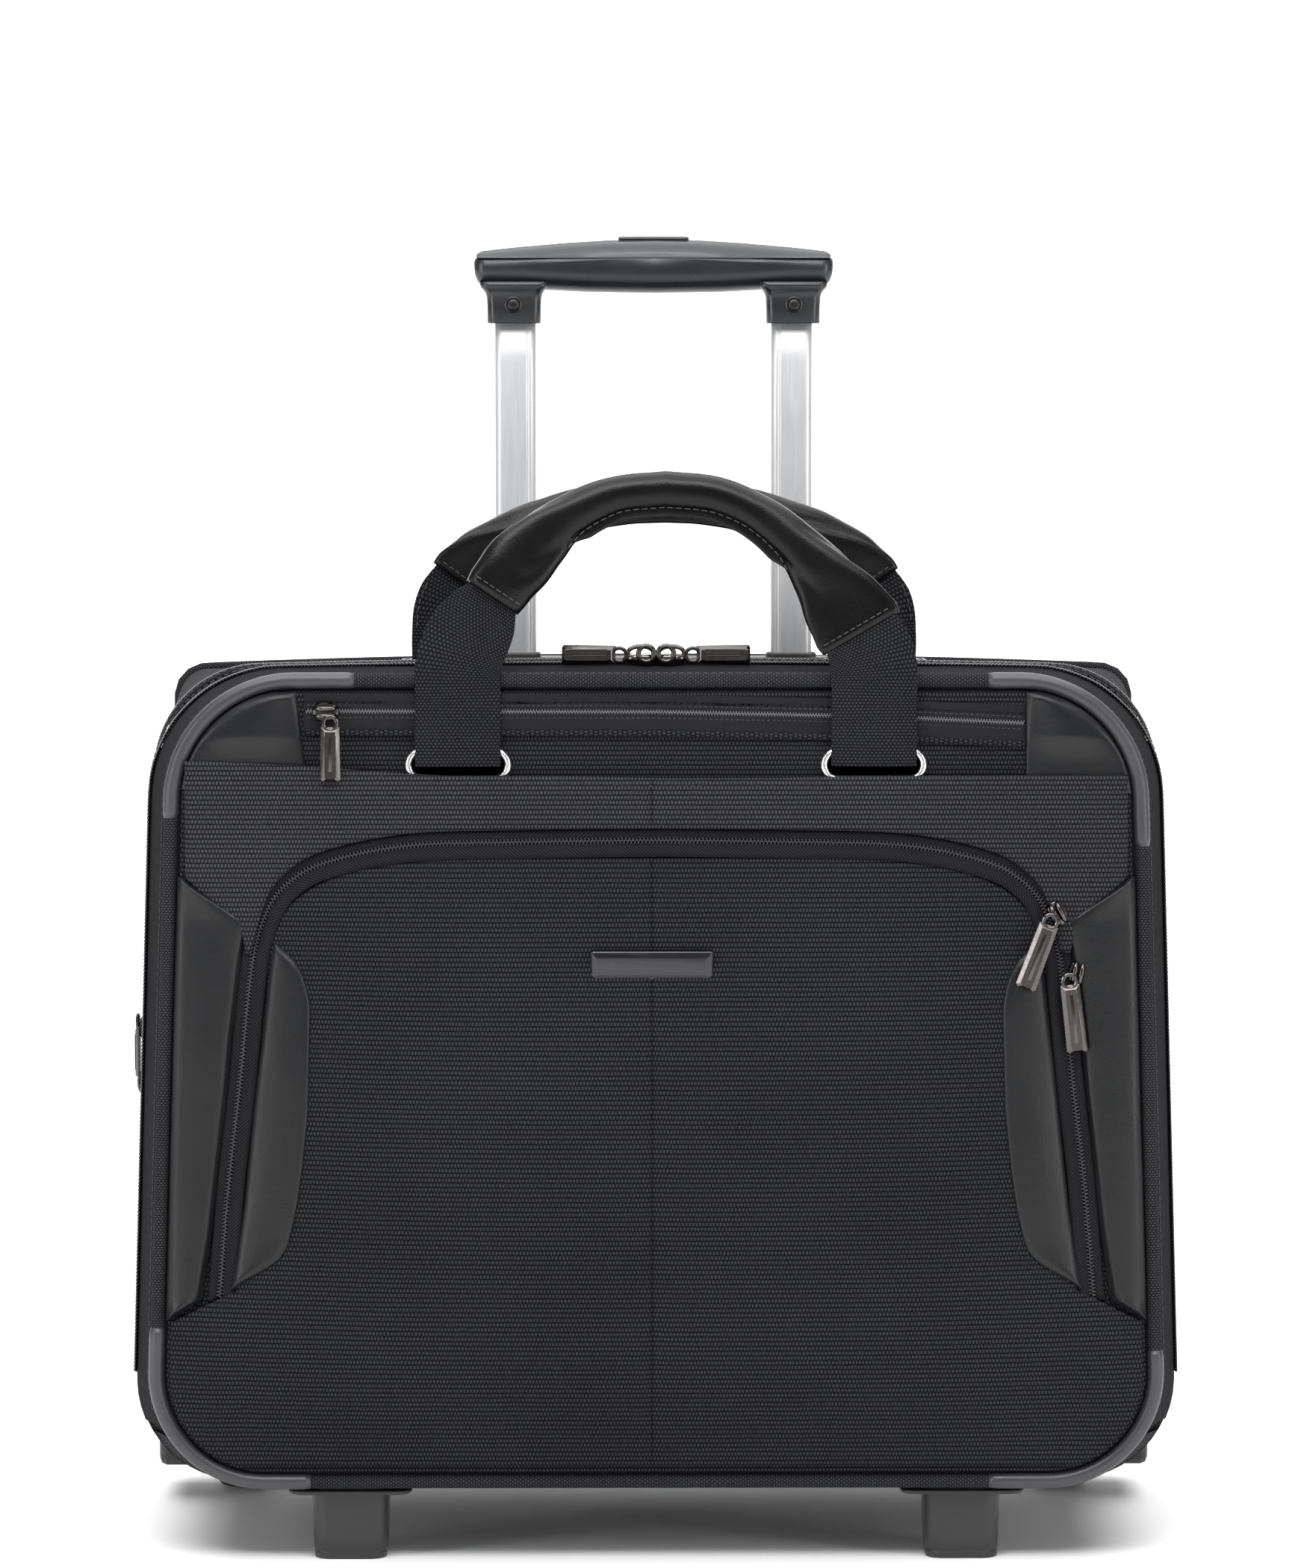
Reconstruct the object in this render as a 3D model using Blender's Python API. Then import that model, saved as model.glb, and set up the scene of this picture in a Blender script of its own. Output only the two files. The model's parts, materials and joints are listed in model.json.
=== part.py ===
"""Soft-sided rolling flight case with a hinged front lid, a zipped front pocket, two carry
handles, a two-stage telescopic trolley and two rear wheels.

Metres, +Z up, the front faces -Y. The origin is on the ground under the middle of the case.
Every moving piece hangs from an empty that stands on its joint's axis.
"""

import math

import bmesh
import bpy
from mathutils import Matrix, Vector

# Clearance that two touching pieces keep.
GAP = 0.0003
# Thickness of a padded fabric wall.
WALL = 0.004

# Depth stations, front to back.
PIPING_Y = -0.089
ZIP_Y = -0.066
BACK_Y = 0.088
REAR_FACE_Y = 0.092

# Front view of the case at each station: half width at the top, half width at the bottom,
# bottom height, top height, upper and lower corner radius, rise of the top in the middle.
PIPING_SHAPE = (0.2045, 0.2122, 0.035, 0.376, 0.052, 0.046, 0.0)
ZIP_SHAPE = (0.2158, 0.2218, 0.031, 0.3795, 0.050, 0.044, 0.0015)
BACK_SHAPE = (0.2130, 0.2130, 0.031, 0.3715, 0.012, 0.022, 0.0040)
# Depths of the tub's rings between its back and the zip.
SHELL_STATIONS = (0.030, -0.010, -0.054)
CORNER_STEPS = 6
TOP_STEPS = 8

# Front lid.
LID_FRONT_Y = -0.0900
LID_INNER_Y = -0.0860
LID_STEP_Y = -0.0847
LID_STEP = 0.0045
LID_FOOT_Z = 0.056
PIPING_R = 0.0030
PIPING_CORE_R = 0.0022
GUARD_R = 0.0035
GUARD_BORE_R = 0.0025
# Where each corner guard ends: along the top or bottom (x), and up or down the side (z).
GUARD_ENDS = {
    "upper_left": (0.125, 0.317), "upper_right": (0.139, 0.304),
    "lower_left": (0.145, 0.102), "lower_right": (0.141, 0.093),
}

# Front pocket and its arched zip.
FLAP_LOW_Z = 0.110
FLAP_TOP_Z = 0.302
FLAP_FULL_Z = 0.170
FLAP_BULGE = 0.0187
FLAP_RIM_Y = -0.0933
FLAP_WALL = 0.0028
FLAP_AXIS_Y = -0.1095
FLAP_SHOULDER_Z = 0.250
FLAP_HALF_LOW = 0.179
FLAP_HALF_SHOULDER = 0.164
# Steps of the flap's rounded top, as shares of its height over the shoulder.
FLAP_TOP_STEPS = (0.30, 0.55, 0.75, 0.88, 0.95, 0.985)
LOWER_PANEL_Z = 0.042
# Inner edge of the leatherette strip on the flap, as (z, x), and its thickness.
INLAY_EDGE = (
    (0.1225, 0.1700), (0.130, 0.1605), (0.142, 0.1550), (0.165, 0.1515), (0.195, 0.1480),
    (0.225, 0.1455), (0.244, 0.1455), (0.254, 0.1500), (0.260, 0.1570),
)
INLAY_THICK = 0.001
BADGE_X = -0.002
BADGE_Z = 0.257
BADGE_SIZE = (0.051, 0.0124)
# Slip pocket above the arched zip: its right outline above the zip, and its depth range.
SLIP_EDGE = ((0.1925, 0.336), (0.1985, 0.293), (0.1755, 0.270))
SLIP_Y = (-0.0945, -0.0923)
POCKET_ZIP_LINE = ((-0.150, 0.363), (0.0, 0.3625), (0.155, 0.359))
ARCH_POINTS = (
    (0.185, 0.113), (0.181, 0.161), (0.176, 0.204), (0.1705, 0.256), (0.165, 0.277),
    (0.156, 0.290), (0.139, 0.2995), (0.104, 0.3065), (0.055, 0.308), (0.0, 0.3087),
)
TAPE_HALF = 0.0045
TAPE_THICK = 0.0012

# Carry handles: half of the centre line (x, z), from the anchor to the middle. Both handles
# sit a little to the right of the case's middle.
HANDLE_SHIFT = 0.004
FRONT_HANDLE_Y = -0.0945
FRONT_HANDLE_Z = 0.340
FRONT_HANDLE_LINE = (
    (0.0875, 0.340), (0.0875, 0.365), (0.0868, 0.385), (0.0785, 0.402), (0.0640, 0.4215),
    (0.0450, 0.4395), (0.0230, 0.4500), (0.0, 0.4525),
)
REAR_HANDLE_Y = -0.003
REAR_HANDLE_Z = 0.3800
REAR_HANDLE_LINE = (
    (0.0917, 0.380), (0.0917, 0.392), (0.0900, 0.404), (0.0800, 0.4185), (0.0620, 0.4345),
    (0.0400, 0.4455), (0.0180, 0.4500), (0.0, 0.4510),
)
WEBBING_HALF = 0.018
WEBBING_THICK = 0.0025
# The webbing folded inside the grip, the grip's flared end and its round middle.
FOLDED_HALF = 0.0055
GRIP_END = (0.0195, 0.0048)
GRIP_RADIUS = 0.009
EYELET_X = 0.0875
EYELET_Z = 0.339
EYELET_SIZE = (0.045, 0.015)
EYELET_RIM = 0.003
EYELET_Y = (-0.0915, -0.0903)

# Trolley.
TROLLEY_X = 0.0617
TROLLEY_Y = 0.079
INNER_TUBE = (0.0183, 0.0110)
MID_TUBE = (0.0210, 0.0137)
OUTER_TUBE = (0.0240, 0.0167)
TUBE_CLEAR = 0.00035
TUBE_WALL = 0.0012
INNER_TUBE_Z = (0.195, 0.540)
MID_TUBE_Z = (0.050, 0.3772)
OUTER_TUBE_Z = (0.044, 0.3687)
BEZEL_Z = (0.3690, 0.3775)
GRIP_HALF = 0.080
GRIP_DEPTH = 0.025
GRIP_SOCKET_Z = 0.527
GRIP_PARTING_Z = 0.555
GRIP_HOLLOW_HALF = 0.0095
BUTTON_HALF = 0.016
BUTTON_DEPTH = 0.013
BUTTON_TOP_Z = 0.566
ROD_R = 0.0025

# Wheels, feet and base.
WHEEL_X = 0.1845
WHEEL_Y = 0.085
WHEEL_R = 0.030
WHEEL_WIDTH = 0.025
HUB_R = 0.0222
AXLE_R = 0.0030
BAY_X = 0.163
BAY_Y = 0.046
BAY_TOP_Z = 0.074
HOUSING_X = 0.2215
HOUSING_LOW_Z = 0.0155
HOUSING_CORNER_R = 0.006
# The well that the wheel turns in, and the open cavity outside it, both across the case.
WELL_R = 0.0335
WELL_X = (0.1700, 0.1990)
CAVITY_X = (0.2035, 0.2175)
CAVITY_Y = (0.052, 0.098)
CAVITY_TOP_Z = 0.064
AXLE_X = (0.1665, 0.2055)
FOOT_X = 0.1305
FOOT_Y = -0.068
FOOT_SIZE = (0.033, 0.030)
FOOT_CORNER_R = 0.008
# Skid plate under the rear edge.
SKID_HALF = 0.150
SKID_FRONT_Y = 0.030
SKID_LOW_Z = 0.0257
SKID_TOP_Z = 0.085
SKID_THICK = 0.004

# Partition and padded divider of the laptop sleeve: width, depth range and corner radius.
PARTITION = (0.316, 0.066, 0.069, 0.008)
DIVIDER = (0.350, 0.038, 0.044, 0.030)
DIVIDER_TOP_Z = 0.300

# Zip sliders and pullers.
SLIDER_LENGTH = 0.0115
PULLER_LENGTH = 0.024
PULLER_WIDTH = 0.0085
PULLER_THICK = 0.0025
TOP_SLIDER_SIZE = (SLIDER_LENGTH, 0.011, 0.0056)
TOP_PULLER_X = 0.0160
TOP_PULLER_Y = -0.0670
POCKET_SLIDER = (-0.139, -0.0944, 0.3630)
POCKET_SLIDER_SIZE = (0.011, 0.0050, 0.009)
POCKET_PIVOT = (-0.137, -0.0973, 0.3580)
SIDE_ZIP_Y = -0.025
SIDE_SLIDER_Z = 0.222
SIDE_SLIDER_SIZE = (0.0050, 0.010, 0.012)
ARCH_PULLER_LENGTH = 0.030
# The arched zip's two pullers: name, pivot and the way each hangs.
ARCH_PULLERS = (
    ("upper", (0.1655, -0.0990, 0.2745), (-0.35, 0, -0.94)),
    ("lower", (0.1740, -0.0972, 0.2490), (0.12, 0, -0.99)),
)

FABRIC = ((0.035, 0.035, 0.042), 0.85, 0.0)
PIPING = ((0.025, 0.025, 0.030), 0.80, 0.0)
LEATHER = ((0.045, 0.046, 0.050), 0.45, 0.0)
PLASTIC = ((0.030, 0.030, 0.033), 0.50, 0.0)
RUBBER = ((0.020, 0.020, 0.021), 0.75, 0.0)
ALUMINIUM = ((0.860, 0.870, 0.880), 0.35, 1.0)
STEEL = ((0.550, 0.560, 0.570), 0.35, 1.0)
CHROME = ((0.700, 0.700, 0.710), 0.15, 1.0)
GUNMETAL = ((0.110, 0.105, 0.100), 0.25, 1.0)
WEBBING = ((0.022, 0.023, 0.026), 0.85, 0.0)
LINING = ((0.060, 0.062, 0.070), 0.80, 0.0)


def clear_scene():
    for thing in list(bpy.data.objects):
        bpy.data.objects.remove(thing, do_unlink=True)


def material(name, finish):
    colour, roughness, metallic = finish
    made = bpy.data.materials.new(name)
    made.use_nodes = True
    shader = made.node_tree.nodes["Principled BSDF"]
    shader.inputs["Base Color"].default_value = (*colour, 1.0)
    shader.inputs["Roughness"].default_value = roughness
    shader.inputs["Metallic"].default_value = metallic
    return made


def axis_empty(name, location, parent=None):
    """An empty that marks a joint's axis; the moving pieces hang from it."""
    empty = bpy.data.objects.new(name, None)
    bpy.context.collection.objects.link(empty)
    if parent:
        empty.parent = parent
        empty.location = Vector(location) - parent.matrix_world.translation
    else:
        empty.location = location
    bpy.context.view_layer.update()
    return empty


def place(name, mesh, finish, parent=None):
    """Link a mesh that is given in world coordinates, under an empty if it moves."""
    piece = bpy.data.objects.new(name, mesh)
    bpy.context.collection.objects.link(piece)
    mesh.materials.append(material(name, finish))
    if parent:
        piece.parent = parent
        piece.matrix_parent_inverse = parent.matrix_world.inverted()
    return piece


def mesh_from(name, work):
    bmesh.ops.remove_doubles(work, verts=work.verts, dist=1e-6)
    bmesh.ops.recalc_face_normals(work, faces=work.faces)
    mesh = bpy.data.meshes.new(name)
    work.to_mesh(mesh)
    work.free()
    mesh.shade_smooth()
    mesh.set_sharp_from_angle(angle=math.radians(35))
    return mesh


def skin(name, loops, finish, parent=None, cyclic=False):
    """A closed body through loops of points, capped at both ends or closed on itself."""
    work = bmesh.new()
    rows = [[work.verts.new(point) for point in loop] for loop in loops]
    pairs = list(zip(rows, rows[1:]))
    if cyclic:
        pairs.append((rows[-1], rows[0]))
    for low, high in pairs:
        for i, vert in enumerate(low):
            after = (i + 1) % len(low)
            work.faces.new((vert, low[after], high[after], high[i]))
    if not cyclic:
        work.faces.new(rows[0])
        work.faces.new(rows[-1])
    return place(name, mesh_from(name, work), finish, parent)


def block(name, low, high, finish, parent=None, round_edges=0.0):
    """A rectangular block between two corners, with an optional rounded edge."""
    corners = [(low[0], low[1]), (high[0], low[1]), (high[0], high[1]), (low[0], high[1])]
    loops = [[(x, y, z) for x, y in corners] for z in (low[2], high[2])]
    piece = skin(name, loops, finish, parent)
    if round_edges:
        bevel(piece, round_edges)
    return piece


def bevel(piece, width, segments=2, angle=35):
    rounding = piece.modifiers.new("Rounded edges", "BEVEL")
    rounding.width = width
    rounding.segments = segments
    rounding.limit_method = "ANGLE"
    rounding.angle_limit = math.radians(angle)


def cutter(piece, shape):
    """Subtract a guide shape, which stays in the scene only as a wire."""
    shape.hide_render = True
    shape.display_type = "WIRE"
    cut = piece.modifiers.new("Cut " + shape.name, "BOOLEAN")
    cut.operation = "DIFFERENCE"
    cut.solver = "EXACT"
    cut.object = shape


def arc(centre, radius, start, stop, steps):
    """Points of an arc, in degrees, both ends included."""
    turns = [math.radians(start + (stop - start) * i / steps) for i in range(steps + 1)]
    return [(centre[0] + radius * math.cos(t), centre[1] + radius * math.sin(t)) for t in turns]


def smooth_line(points, per_span):
    """A Catmull-Rom line through points of any dimension."""
    ends = [tuple(2 * a - b for a, b in zip(points[0], points[1]))]
    tail = [tuple(2 * a - b for a, b in zip(points[-1], points[-2]))]
    padded = ends + list(points) + tail
    line = []
    for p0, p1, p2, p3 in zip(padded, padded[1:], padded[2:], padded[3:]):
        for i in range(per_span):
            t = i / per_span
            line.append(tuple(
                0.5 * (2 * b + (c - a) * t + (2 * a - 5 * b + 4 * c - d) * t * t
                       + (3 * b - a - 3 * c + d) * t ** 3)
                for a, b, c, d in zip(p0, p1, p2, p3)
            ))
    return line + [tuple(points[-1])]


# ---------------------------------------------------------------- case outline


def shape_at(y):
    """The case's front view at depth y, blended between the three stations."""
    if y <= ZIP_Y:
        first, second, start, stop = PIPING_SHAPE, ZIP_SHAPE, PIPING_Y, ZIP_Y
    else:
        first, second, start, stop = ZIP_SHAPE, BACK_SHAPE, ZIP_Y, BACK_Y
    t = min(max((y - start) / (stop - start), 0.0), 1.0)
    return tuple(a + (b - a) * t for a, b in zip(first, second))


def outline(shape, inset=0.0):
    """Closed outline of a front view, anticlockwise from the bottom, as (x, z)."""
    half_top, half_low, low, high, r_top, r_low, crown = shape
    bottom = low + inset
    top = high - inset
    r_low = r_low - inset
    r_top = r_top - inset
    right = arc((half_low - inset - r_low, bottom + r_low), r_low, -90, 0, CORNER_STEPS)
    run = half_top - inset - r_top
    right += arc((run, top - r_top), r_top, 0, 90, CORNER_STEPS)
    across = []
    for i in range(1, TOP_STEPS):
        x = run * (1 - 2 * i / TOP_STEPS)
        across.append((x, top + crown * (1 - (x / run) ** 2)))
    left = [(-x, z) for x, z in reversed(right)]
    return right + across + left


def case_ring(y, inset=0.0, shape=None):
    return [Vector((x, y, z)) for x, z in outline(shape or shape_at(y), inset)]


def top_height(x, y):
    """Height of the case's top face at a point."""
    half_top, _, _, high, r_top, _, crown = shape_at(y)
    return high + crown * (1 - (x / (half_top - r_top)) ** 2)


def side_width(z, y):
    """Half width of the case's side face at a height."""
    half_top, half_low, low, high, r_top, r_low, _ = shape_at(y)
    start = low + r_low
    stop = high - r_top
    return half_low + (half_top - half_low) * (z - start) / (stop - start)


def over_the_top(y, offset, foot_z):
    """Open line over the case at depth y, from low on the right side to low on the left."""
    points = [p for p in outline(shape_at(y), -offset) if p[1] > foot_z + 0.02]
    foot = side_width(foot_z, y) + offset
    return [(foot, foot_z)] + points + [(-foot, foot_z)]


def tube_rings(line, radii, sides):
    """Round rings about a line of (x, y, z), each square to the line and to the Y axis."""
    rings = []
    count = len(line)
    for i, point in enumerate(line):
        before = Vector(line[max(i - 1, 0)])
        after = Vector(line[min(i + 1, count - 1)])
        along = (after - before).normalized()
        out = along.cross(Vector((0, 1, 0))).normalized()
        side = out.cross(along).normalized()
        turns = [2 * math.pi * k / sides for k in range(sides)]
        rings.append([
            Vector(point) + radii[i] * (math.cos(t) * out + math.sin(t) * side) for t in turns
        ])
    return rings


def rounded_rectangle(width, depth, radius, steps=3):
    """Outline of a rounded rectangle about the origin, as (x, y)."""
    x, y = width / 2 - radius, depth / 2 - radius
    corners = ((x, y, 0), (-x, y, 90), (-x, -y, 180), (x, -y, 270))
    points = []
    for cx, cy, start in corners:
        points += arc((cx, cy), radius, start, start + 90, steps)
    return points


def prism(name, outline_points, low, high, finish, parent=None, along="Z"):
    """A straight body over an outline given in the two axes other than along."""
    order = {"X": lambda a, b, c: (c, a, b), "Y": lambda a, b, c: (a, c, b),
             "Z": lambda a, b, c: (a, b, c)}[along]
    loops = [[order(a, b, level) for a, b in outline_points] for level in (low, high)]
    return skin(name, loops, finish, parent)


# ---------------------------------------------------------------- case body


def rear_shell():
    """Padded tub, open at the front, with a lip that carries the feet."""
    depths = (BACK_Y, *SHELL_STATIONS, ZIP_Y + 0.001, LID_STEP_Y + 0.0004)
    loops = [case_ring(y, WALL) for y in depths]
    loops += [case_ring(y) for y in reversed(depths)]
    loops.append(case_ring(REAR_FACE_Y, 0.003))
    shell = skin("rear_shell", loops, FABRIC)
    mouth = block("mouth_cut", (-0.3, -0.12, LID_FOOT_Z - GAP), (0.3, ZIP_Y + GAP, 0.5), FABRIC)
    cutter(shell, mouth)
    for side, sign in (("left", -1), ("right", 1)):
        ends = sorted((sign * BAY_X, sign * 0.26))
        bay = block("bay_cut_" + side, (ends[0], BAY_Y, -0.01), (ends[1], 0.12, BAY_TOP_Z), FABRIC)
        cutter(shell, bay)
    slot_half = TROLLEY_X + 0.0166
    slot = block("trolley_slot_cut", (-slot_half, 0.067, 0.36), (slot_half, BACK_Y, 0.40), FABRIC)
    cutter(shell, slot)


def inner_boards():
    floor = shape_at(0)[2] + WALL + GAP
    top = top_height(0, PARTITION[2]) - WALL - 0.0036
    width, front, back, radius = PARTITION
    board = rounded_rectangle(width, top - floor, radius)
    middle = (top + floor) / 2
    prism("back_partition", [(x, z + middle) for x, z in board], front, back, LINING, along="Y")
    width, front, back, radius = DIVIDER
    pad = rounded_rectangle(width, DIVIDER_TOP_Z - floor, radius, steps=5)
    middle = (DIVIDER_TOP_Z + floor) / 2
    divider = prism("divider_pad", [(x, z + middle) for x, z in pad], front, back, LINING,
                    along="Y")
    bevel(divider, 0.0015)


def skid_plate():
    """Plastic skid that wraps the rear bottom edge between the wheels."""
    under = shape_at(0)[2] - GAP
    inside = REAR_FACE_Y + 0.0005
    outside = inside + SKID_THICK
    section = [(SKID_FRONT_Y, SKID_LOW_Z), (outside, SKID_LOW_Z), (outside, SKID_TOP_Z),
               (inside, SKID_TOP_Z), (inside, under), (SKID_FRONT_Y, under)]
    plate = prism("skid_plate", section, -SKID_HALF, SKID_HALF, PLASTIC, along="X")
    bevel(plate, 0.0012, segments=1)


def wheel_housing(side, sign):
    """Moulded rear corner that holds the wheel and its axle."""
    near = BAY_Y + GAP
    far = 0.1035
    round_z = HOUSING_LOW_Z + HOUSING_CORNER_R
    section = arc((near + HOUSING_CORNER_R, round_z), HOUSING_CORNER_R, 180, 270, 3)
    section += arc((far - HOUSING_CORNER_R, round_z), HOUSING_CORNER_R, 270, 360, 3)
    section += [(far, 0.046), (far - 0.007, BAY_TOP_Z - GAP), (near, BAY_TOP_Z - GAP)]
    ends = sorted((sign * (BAY_X + GAP), sign * HOUSING_X))
    housing = prism("wheel_housing_" + side, section, ends[0], ends[1], PLASTIC, along="X")
    bevel(housing, 0.003)
    well = [(y + WHEEL_Y, z + WHEEL_R) for y, z in arc((0, 0), WELL_R, 0, 345, 23)]
    ends = sorted(sign * x for x in WELL_X)
    cutter(housing, prism("wheel_well_" + side, well, ends[0], ends[1], PLASTIC, along="X"))
    ends = sorted(sign * x for x in CAVITY_X)
    hollow = block("housing_hollow_" + side, (ends[0], CAVITY_Y[0], 0.0),
                   (ends[1], CAVITY_Y[1], CAVITY_TOP_Z), PLASTIC)
    cutter(housing, hollow)
    bore = [(y + WHEEL_Y, z + WHEEL_R) for y, z in arc((0, 0), AXLE_R + 0.0004, 0, 330, 11)]
    ends = sorted((sign * (AXLE_X[0] - 0.0005), sign * (AXLE_X[1] + 0.0005)))
    cutter(housing, prism("axle_bore_" + side, bore, ends[0], ends[1], PLASTIC, along="X"))
    pin = [(y + WHEEL_Y, z + WHEEL_R) for y, z in arc((0, 0), AXLE_R, 0, 330, 11)]
    ends = sorted(sign * x for x in AXLE_X)
    prism("axle_" + side, pin, ends[0], ends[1], STEEL, along="X")


def front_foot(side, sign):
    """Moulded foot under the front lip, with a rounded nose and a flat sole."""
    base = rounded_rectangle(*FOOT_SIZE, FOOT_CORNER_R)
    loops = []
    for z, scale in ((0.0, 0.86), (0.0025, 0.94), (0.014, 0.98), (ZIP_SHAPE[2] - GAP, 1.0)):
        loops.append([(sign * FOOT_X + x * scale, FOOT_Y + y * scale, z) for x, y in base])
    skin("front_foot_" + side, loops, PLASTIC)


def main_zip():
    """Rear tape of the main zip, laid over the case from side to side."""
    loops = []
    front = ZIP_Y + 0.0008
    back = front + 0.010
    near = over_the_top(front, GAP, 0.078)
    far = over_the_top(back, GAP, 0.078)
    near_out = over_the_top(front, GAP + TAPE_THICK, 0.078)
    far_out = over_the_top(back, GAP + TAPE_THICK, 0.078)
    for a, b, c, d in zip(near, far, far_out, near_out):
        loops.append([(a[0], front, a[1]), (b[0], back, b[1]),
                      (c[0], back, c[1]), (d[0], front, d[1])])
    skin("main_zip_tape", loops, PIPING)


def back_piping():
    radius = 0.0022
    behind = BACK_Y + radius + 0.0004
    line = [(x, behind, z) for x, z in over_the_top(BACK_Y, radius + 0.0004, 0.078)]
    skin("back_piping", tube_rings(line, [radius] * len(line), 8), PIPING)


# ---------------------------------------------------------------- front lid


def lid_shell(lid):
    loops = [
        case_ring(LID_FRONT_Y, LID_STEP, PIPING_SHAPE),
        case_ring(LID_STEP_Y, LID_STEP, PIPING_SHAPE),
        case_ring(LID_STEP_Y),
        case_ring(ZIP_Y),
        case_ring(ZIP_Y, WALL),
        case_ring(LID_INNER_Y, LID_STEP + WALL, PIPING_SHAPE),
    ]
    shell = skin("front_lid_shell", loops, FABRIC, lid)
    low = block("lid_foot_cut", (-0.3, LID_INNER_Y - 0.0002, -0.01), (0.3, 0.0, LID_FOOT_Z), FABRIC)
    cutter(shell, low)


def guard_line(corner):
    """Centre line of one corner guard as (x, z), from its inner end round the corner."""
    half_top, half_low, low, high, r_top, r_low, _ = PIPING_SHAPE
    sign = 1 if corner.endswith("right") else -1
    end_x, end_z = GUARD_ENDS[corner]
    if corner.startswith("upper"):
        bend = arc((half_top - r_top, high - r_top), r_top, 90, 0, CORNER_STEPS)
        start = (end_x, high)
    else:
        bend = arc((half_low - r_low, low + r_low), r_low, -90, 0, CORNER_STEPS)
        start = (end_x, low)
    line = [start] + bend + [(side_width(end_z, PIPING_Y), end_z)]
    return [(sign * x, z) for x, z in line]


def corner_guards(lid):
    """Moulded sleeves over the piping at the lid's four corners."""
    for corner in GUARD_ENDS:
        line = [(x, PIPING_Y, z) for x, z in guard_line(corner)]
        outer = tube_rings(line, [GUARD_R] * len(line), 8)
        bore = tube_rings(line, [GUARD_BORE_R] * len(line), 8)
        skin("corner_guard_" + corner, outer + bore[::-1], PLASTIC, lid, cyclic=True)


def piping_ring(lid):
    """Fabric piping round the lid, thinner where the corner guards sleeve it."""
    order = (guard_line("lower_right"), guard_line("upper_right")[::-1],
             guard_line("upper_left"), guard_line("lower_left")[::-1])
    line = []
    radii = []
    for guard in order:
        ends = []
        for end, beside in ((guard[0], guard[1]), (guard[-1], guard[-2])):
            away = Vector((end[0] - beside[0], end[1] - beside[1])).normalized()
            ends.append(((end[0] + away.x * 0.0004, end[1] + away.y * 0.0004),
                         (end[0] + away.x * 0.0009, end[1] + away.y * 0.0009)))
        (core_in, full_in), (core_out, full_out) = ends
        line += [full_in, core_in] + guard + [core_out, full_out]
        radii += [PIPING_R] + [PIPING_CORE_R] * (len(guard) + 2) + [PIPING_R]
    closed = [line[-1]] + line + [line[0]]
    rings = tube_rings([(x, PIPING_Y, z) for x, z in closed], [PIPING_R] + radii + [PIPING_R], 8)
    skin("front_piping", rings[1:-1], PIPING, lid, cyclic=True)


def flap_half_width(z):
    """Half width of the front pocket at a height."""
    if z <= FLAP_SHOULDER_Z:
        t = (z - FLAP_LOW_Z) / (FLAP_SHOULDER_Z - FLAP_LOW_Z)
        return FLAP_HALF_LOW + (FLAP_HALF_SHOULDER - FLAP_HALF_LOW) * t
    t = (z - FLAP_SHOULDER_Z) / (FLAP_TOP_Z - FLAP_SHOULDER_Z)
    return FLAP_HALF_SHOULDER * (1 - t ** 2.75) ** 0.2


def wall_half_width(z):
    """Half width of the lid's front wall at a height in its lower half."""
    half_low, low, radius = PIPING_SHAPE[1], PIPING_SHAPE[2], PIPING_SHAPE[5]
    edge = LID_STEP + 0.002
    drop = max(low + radius - z, 0.0)
    if drop:
        return half_low - radius + math.sqrt((radius - edge) ** 2 - drop ** 2)
    return side_width(z, PIPING_Y) - edge


def bulge(z):
    """How full the lid's front stands at a height, 0 to 1."""
    if z >= FLAP_FULL_Z:
        return 1 - ((z - FLAP_FULL_Z) / (FLAP_TOP_Z - FLAP_FULL_Z)) ** 2.2
    if z >= FLAP_LOW_Z:
        return 1 - 0.15 * ((FLAP_FULL_Z - z) / (FLAP_FULL_Z - FLAP_LOW_Z)) ** 2
    t = (z - LOWER_PANEL_Z) / (FLAP_LOW_Z - LOWER_PANEL_Z)
    return 0.85 * math.sin(math.pi / 2 * max(t, 0.0)) ** 0.8


def front_y(x, z, half):
    """Depth of the lid's bulging front at a point."""
    across = min(abs(x) / half, 1.0)
    return FLAP_RIM_Y - FLAP_BULGE * bulge(z) * (1 - across ** 3)


def panel_solid(name, heights, half_of, back_of, columns, finish, parent):
    """A bulging front panel: each height gives one loop, front edge out and back edge home."""
    loops = []
    for z in heights:
        half = half_of(z)
        xs = [half * (2 * i / columns - 1) for i in range(columns + 1)]
        front = [(x, front_y(x, z, half), z) for x in xs]
        back = [(x, back_of(x, z, half), z) for x in reversed(xs)]
        loops.append(front + back)
    return skin(name, loops, finish, parent)


def pocket_flap(flap):
    heights = [FLAP_LOW_Z + (FLAP_SHOULDER_Z - FLAP_LOW_Z) * i / 5 for i in range(6)]
    rise = FLAP_TOP_Z - FLAP_SHOULDER_Z
    heights += [FLAP_SHOULDER_Z + rise * step for step in FLAP_TOP_STEPS]
    panel_solid("pocket_flap", heights, flap_half_width,
                lambda x, z, half: front_y(x, z, half) + FLAP_WALL, 12, FABRIC, flap)
    for side, sign in (("left", -1), ("right", 1)):
        inner_inlay(side, sign, flap)
    badge(flap)


def inner_inlay(side, sign, flap):
    """Leatherette strip sewn along each side of the pocket flap."""
    loops = []
    for z, inner in INLAY_EDGE:
        half = flap_half_width(z)
        xs = (inner, (inner + half) / 2, half - 0.0015)
        skin_y = [front_y(x, z, half) - 0.0004 for x in xs]
        loop = [(sign * x, y - INLAY_THICK, z) for x, y in zip(xs, skin_y)]
        loop += [(sign * x, y, z) for x, y in reversed(list(zip(xs, skin_y)))]
        loops.append(loop)
    skin("inner_inlay_" + side, loops, LEATHER, flap)


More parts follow.
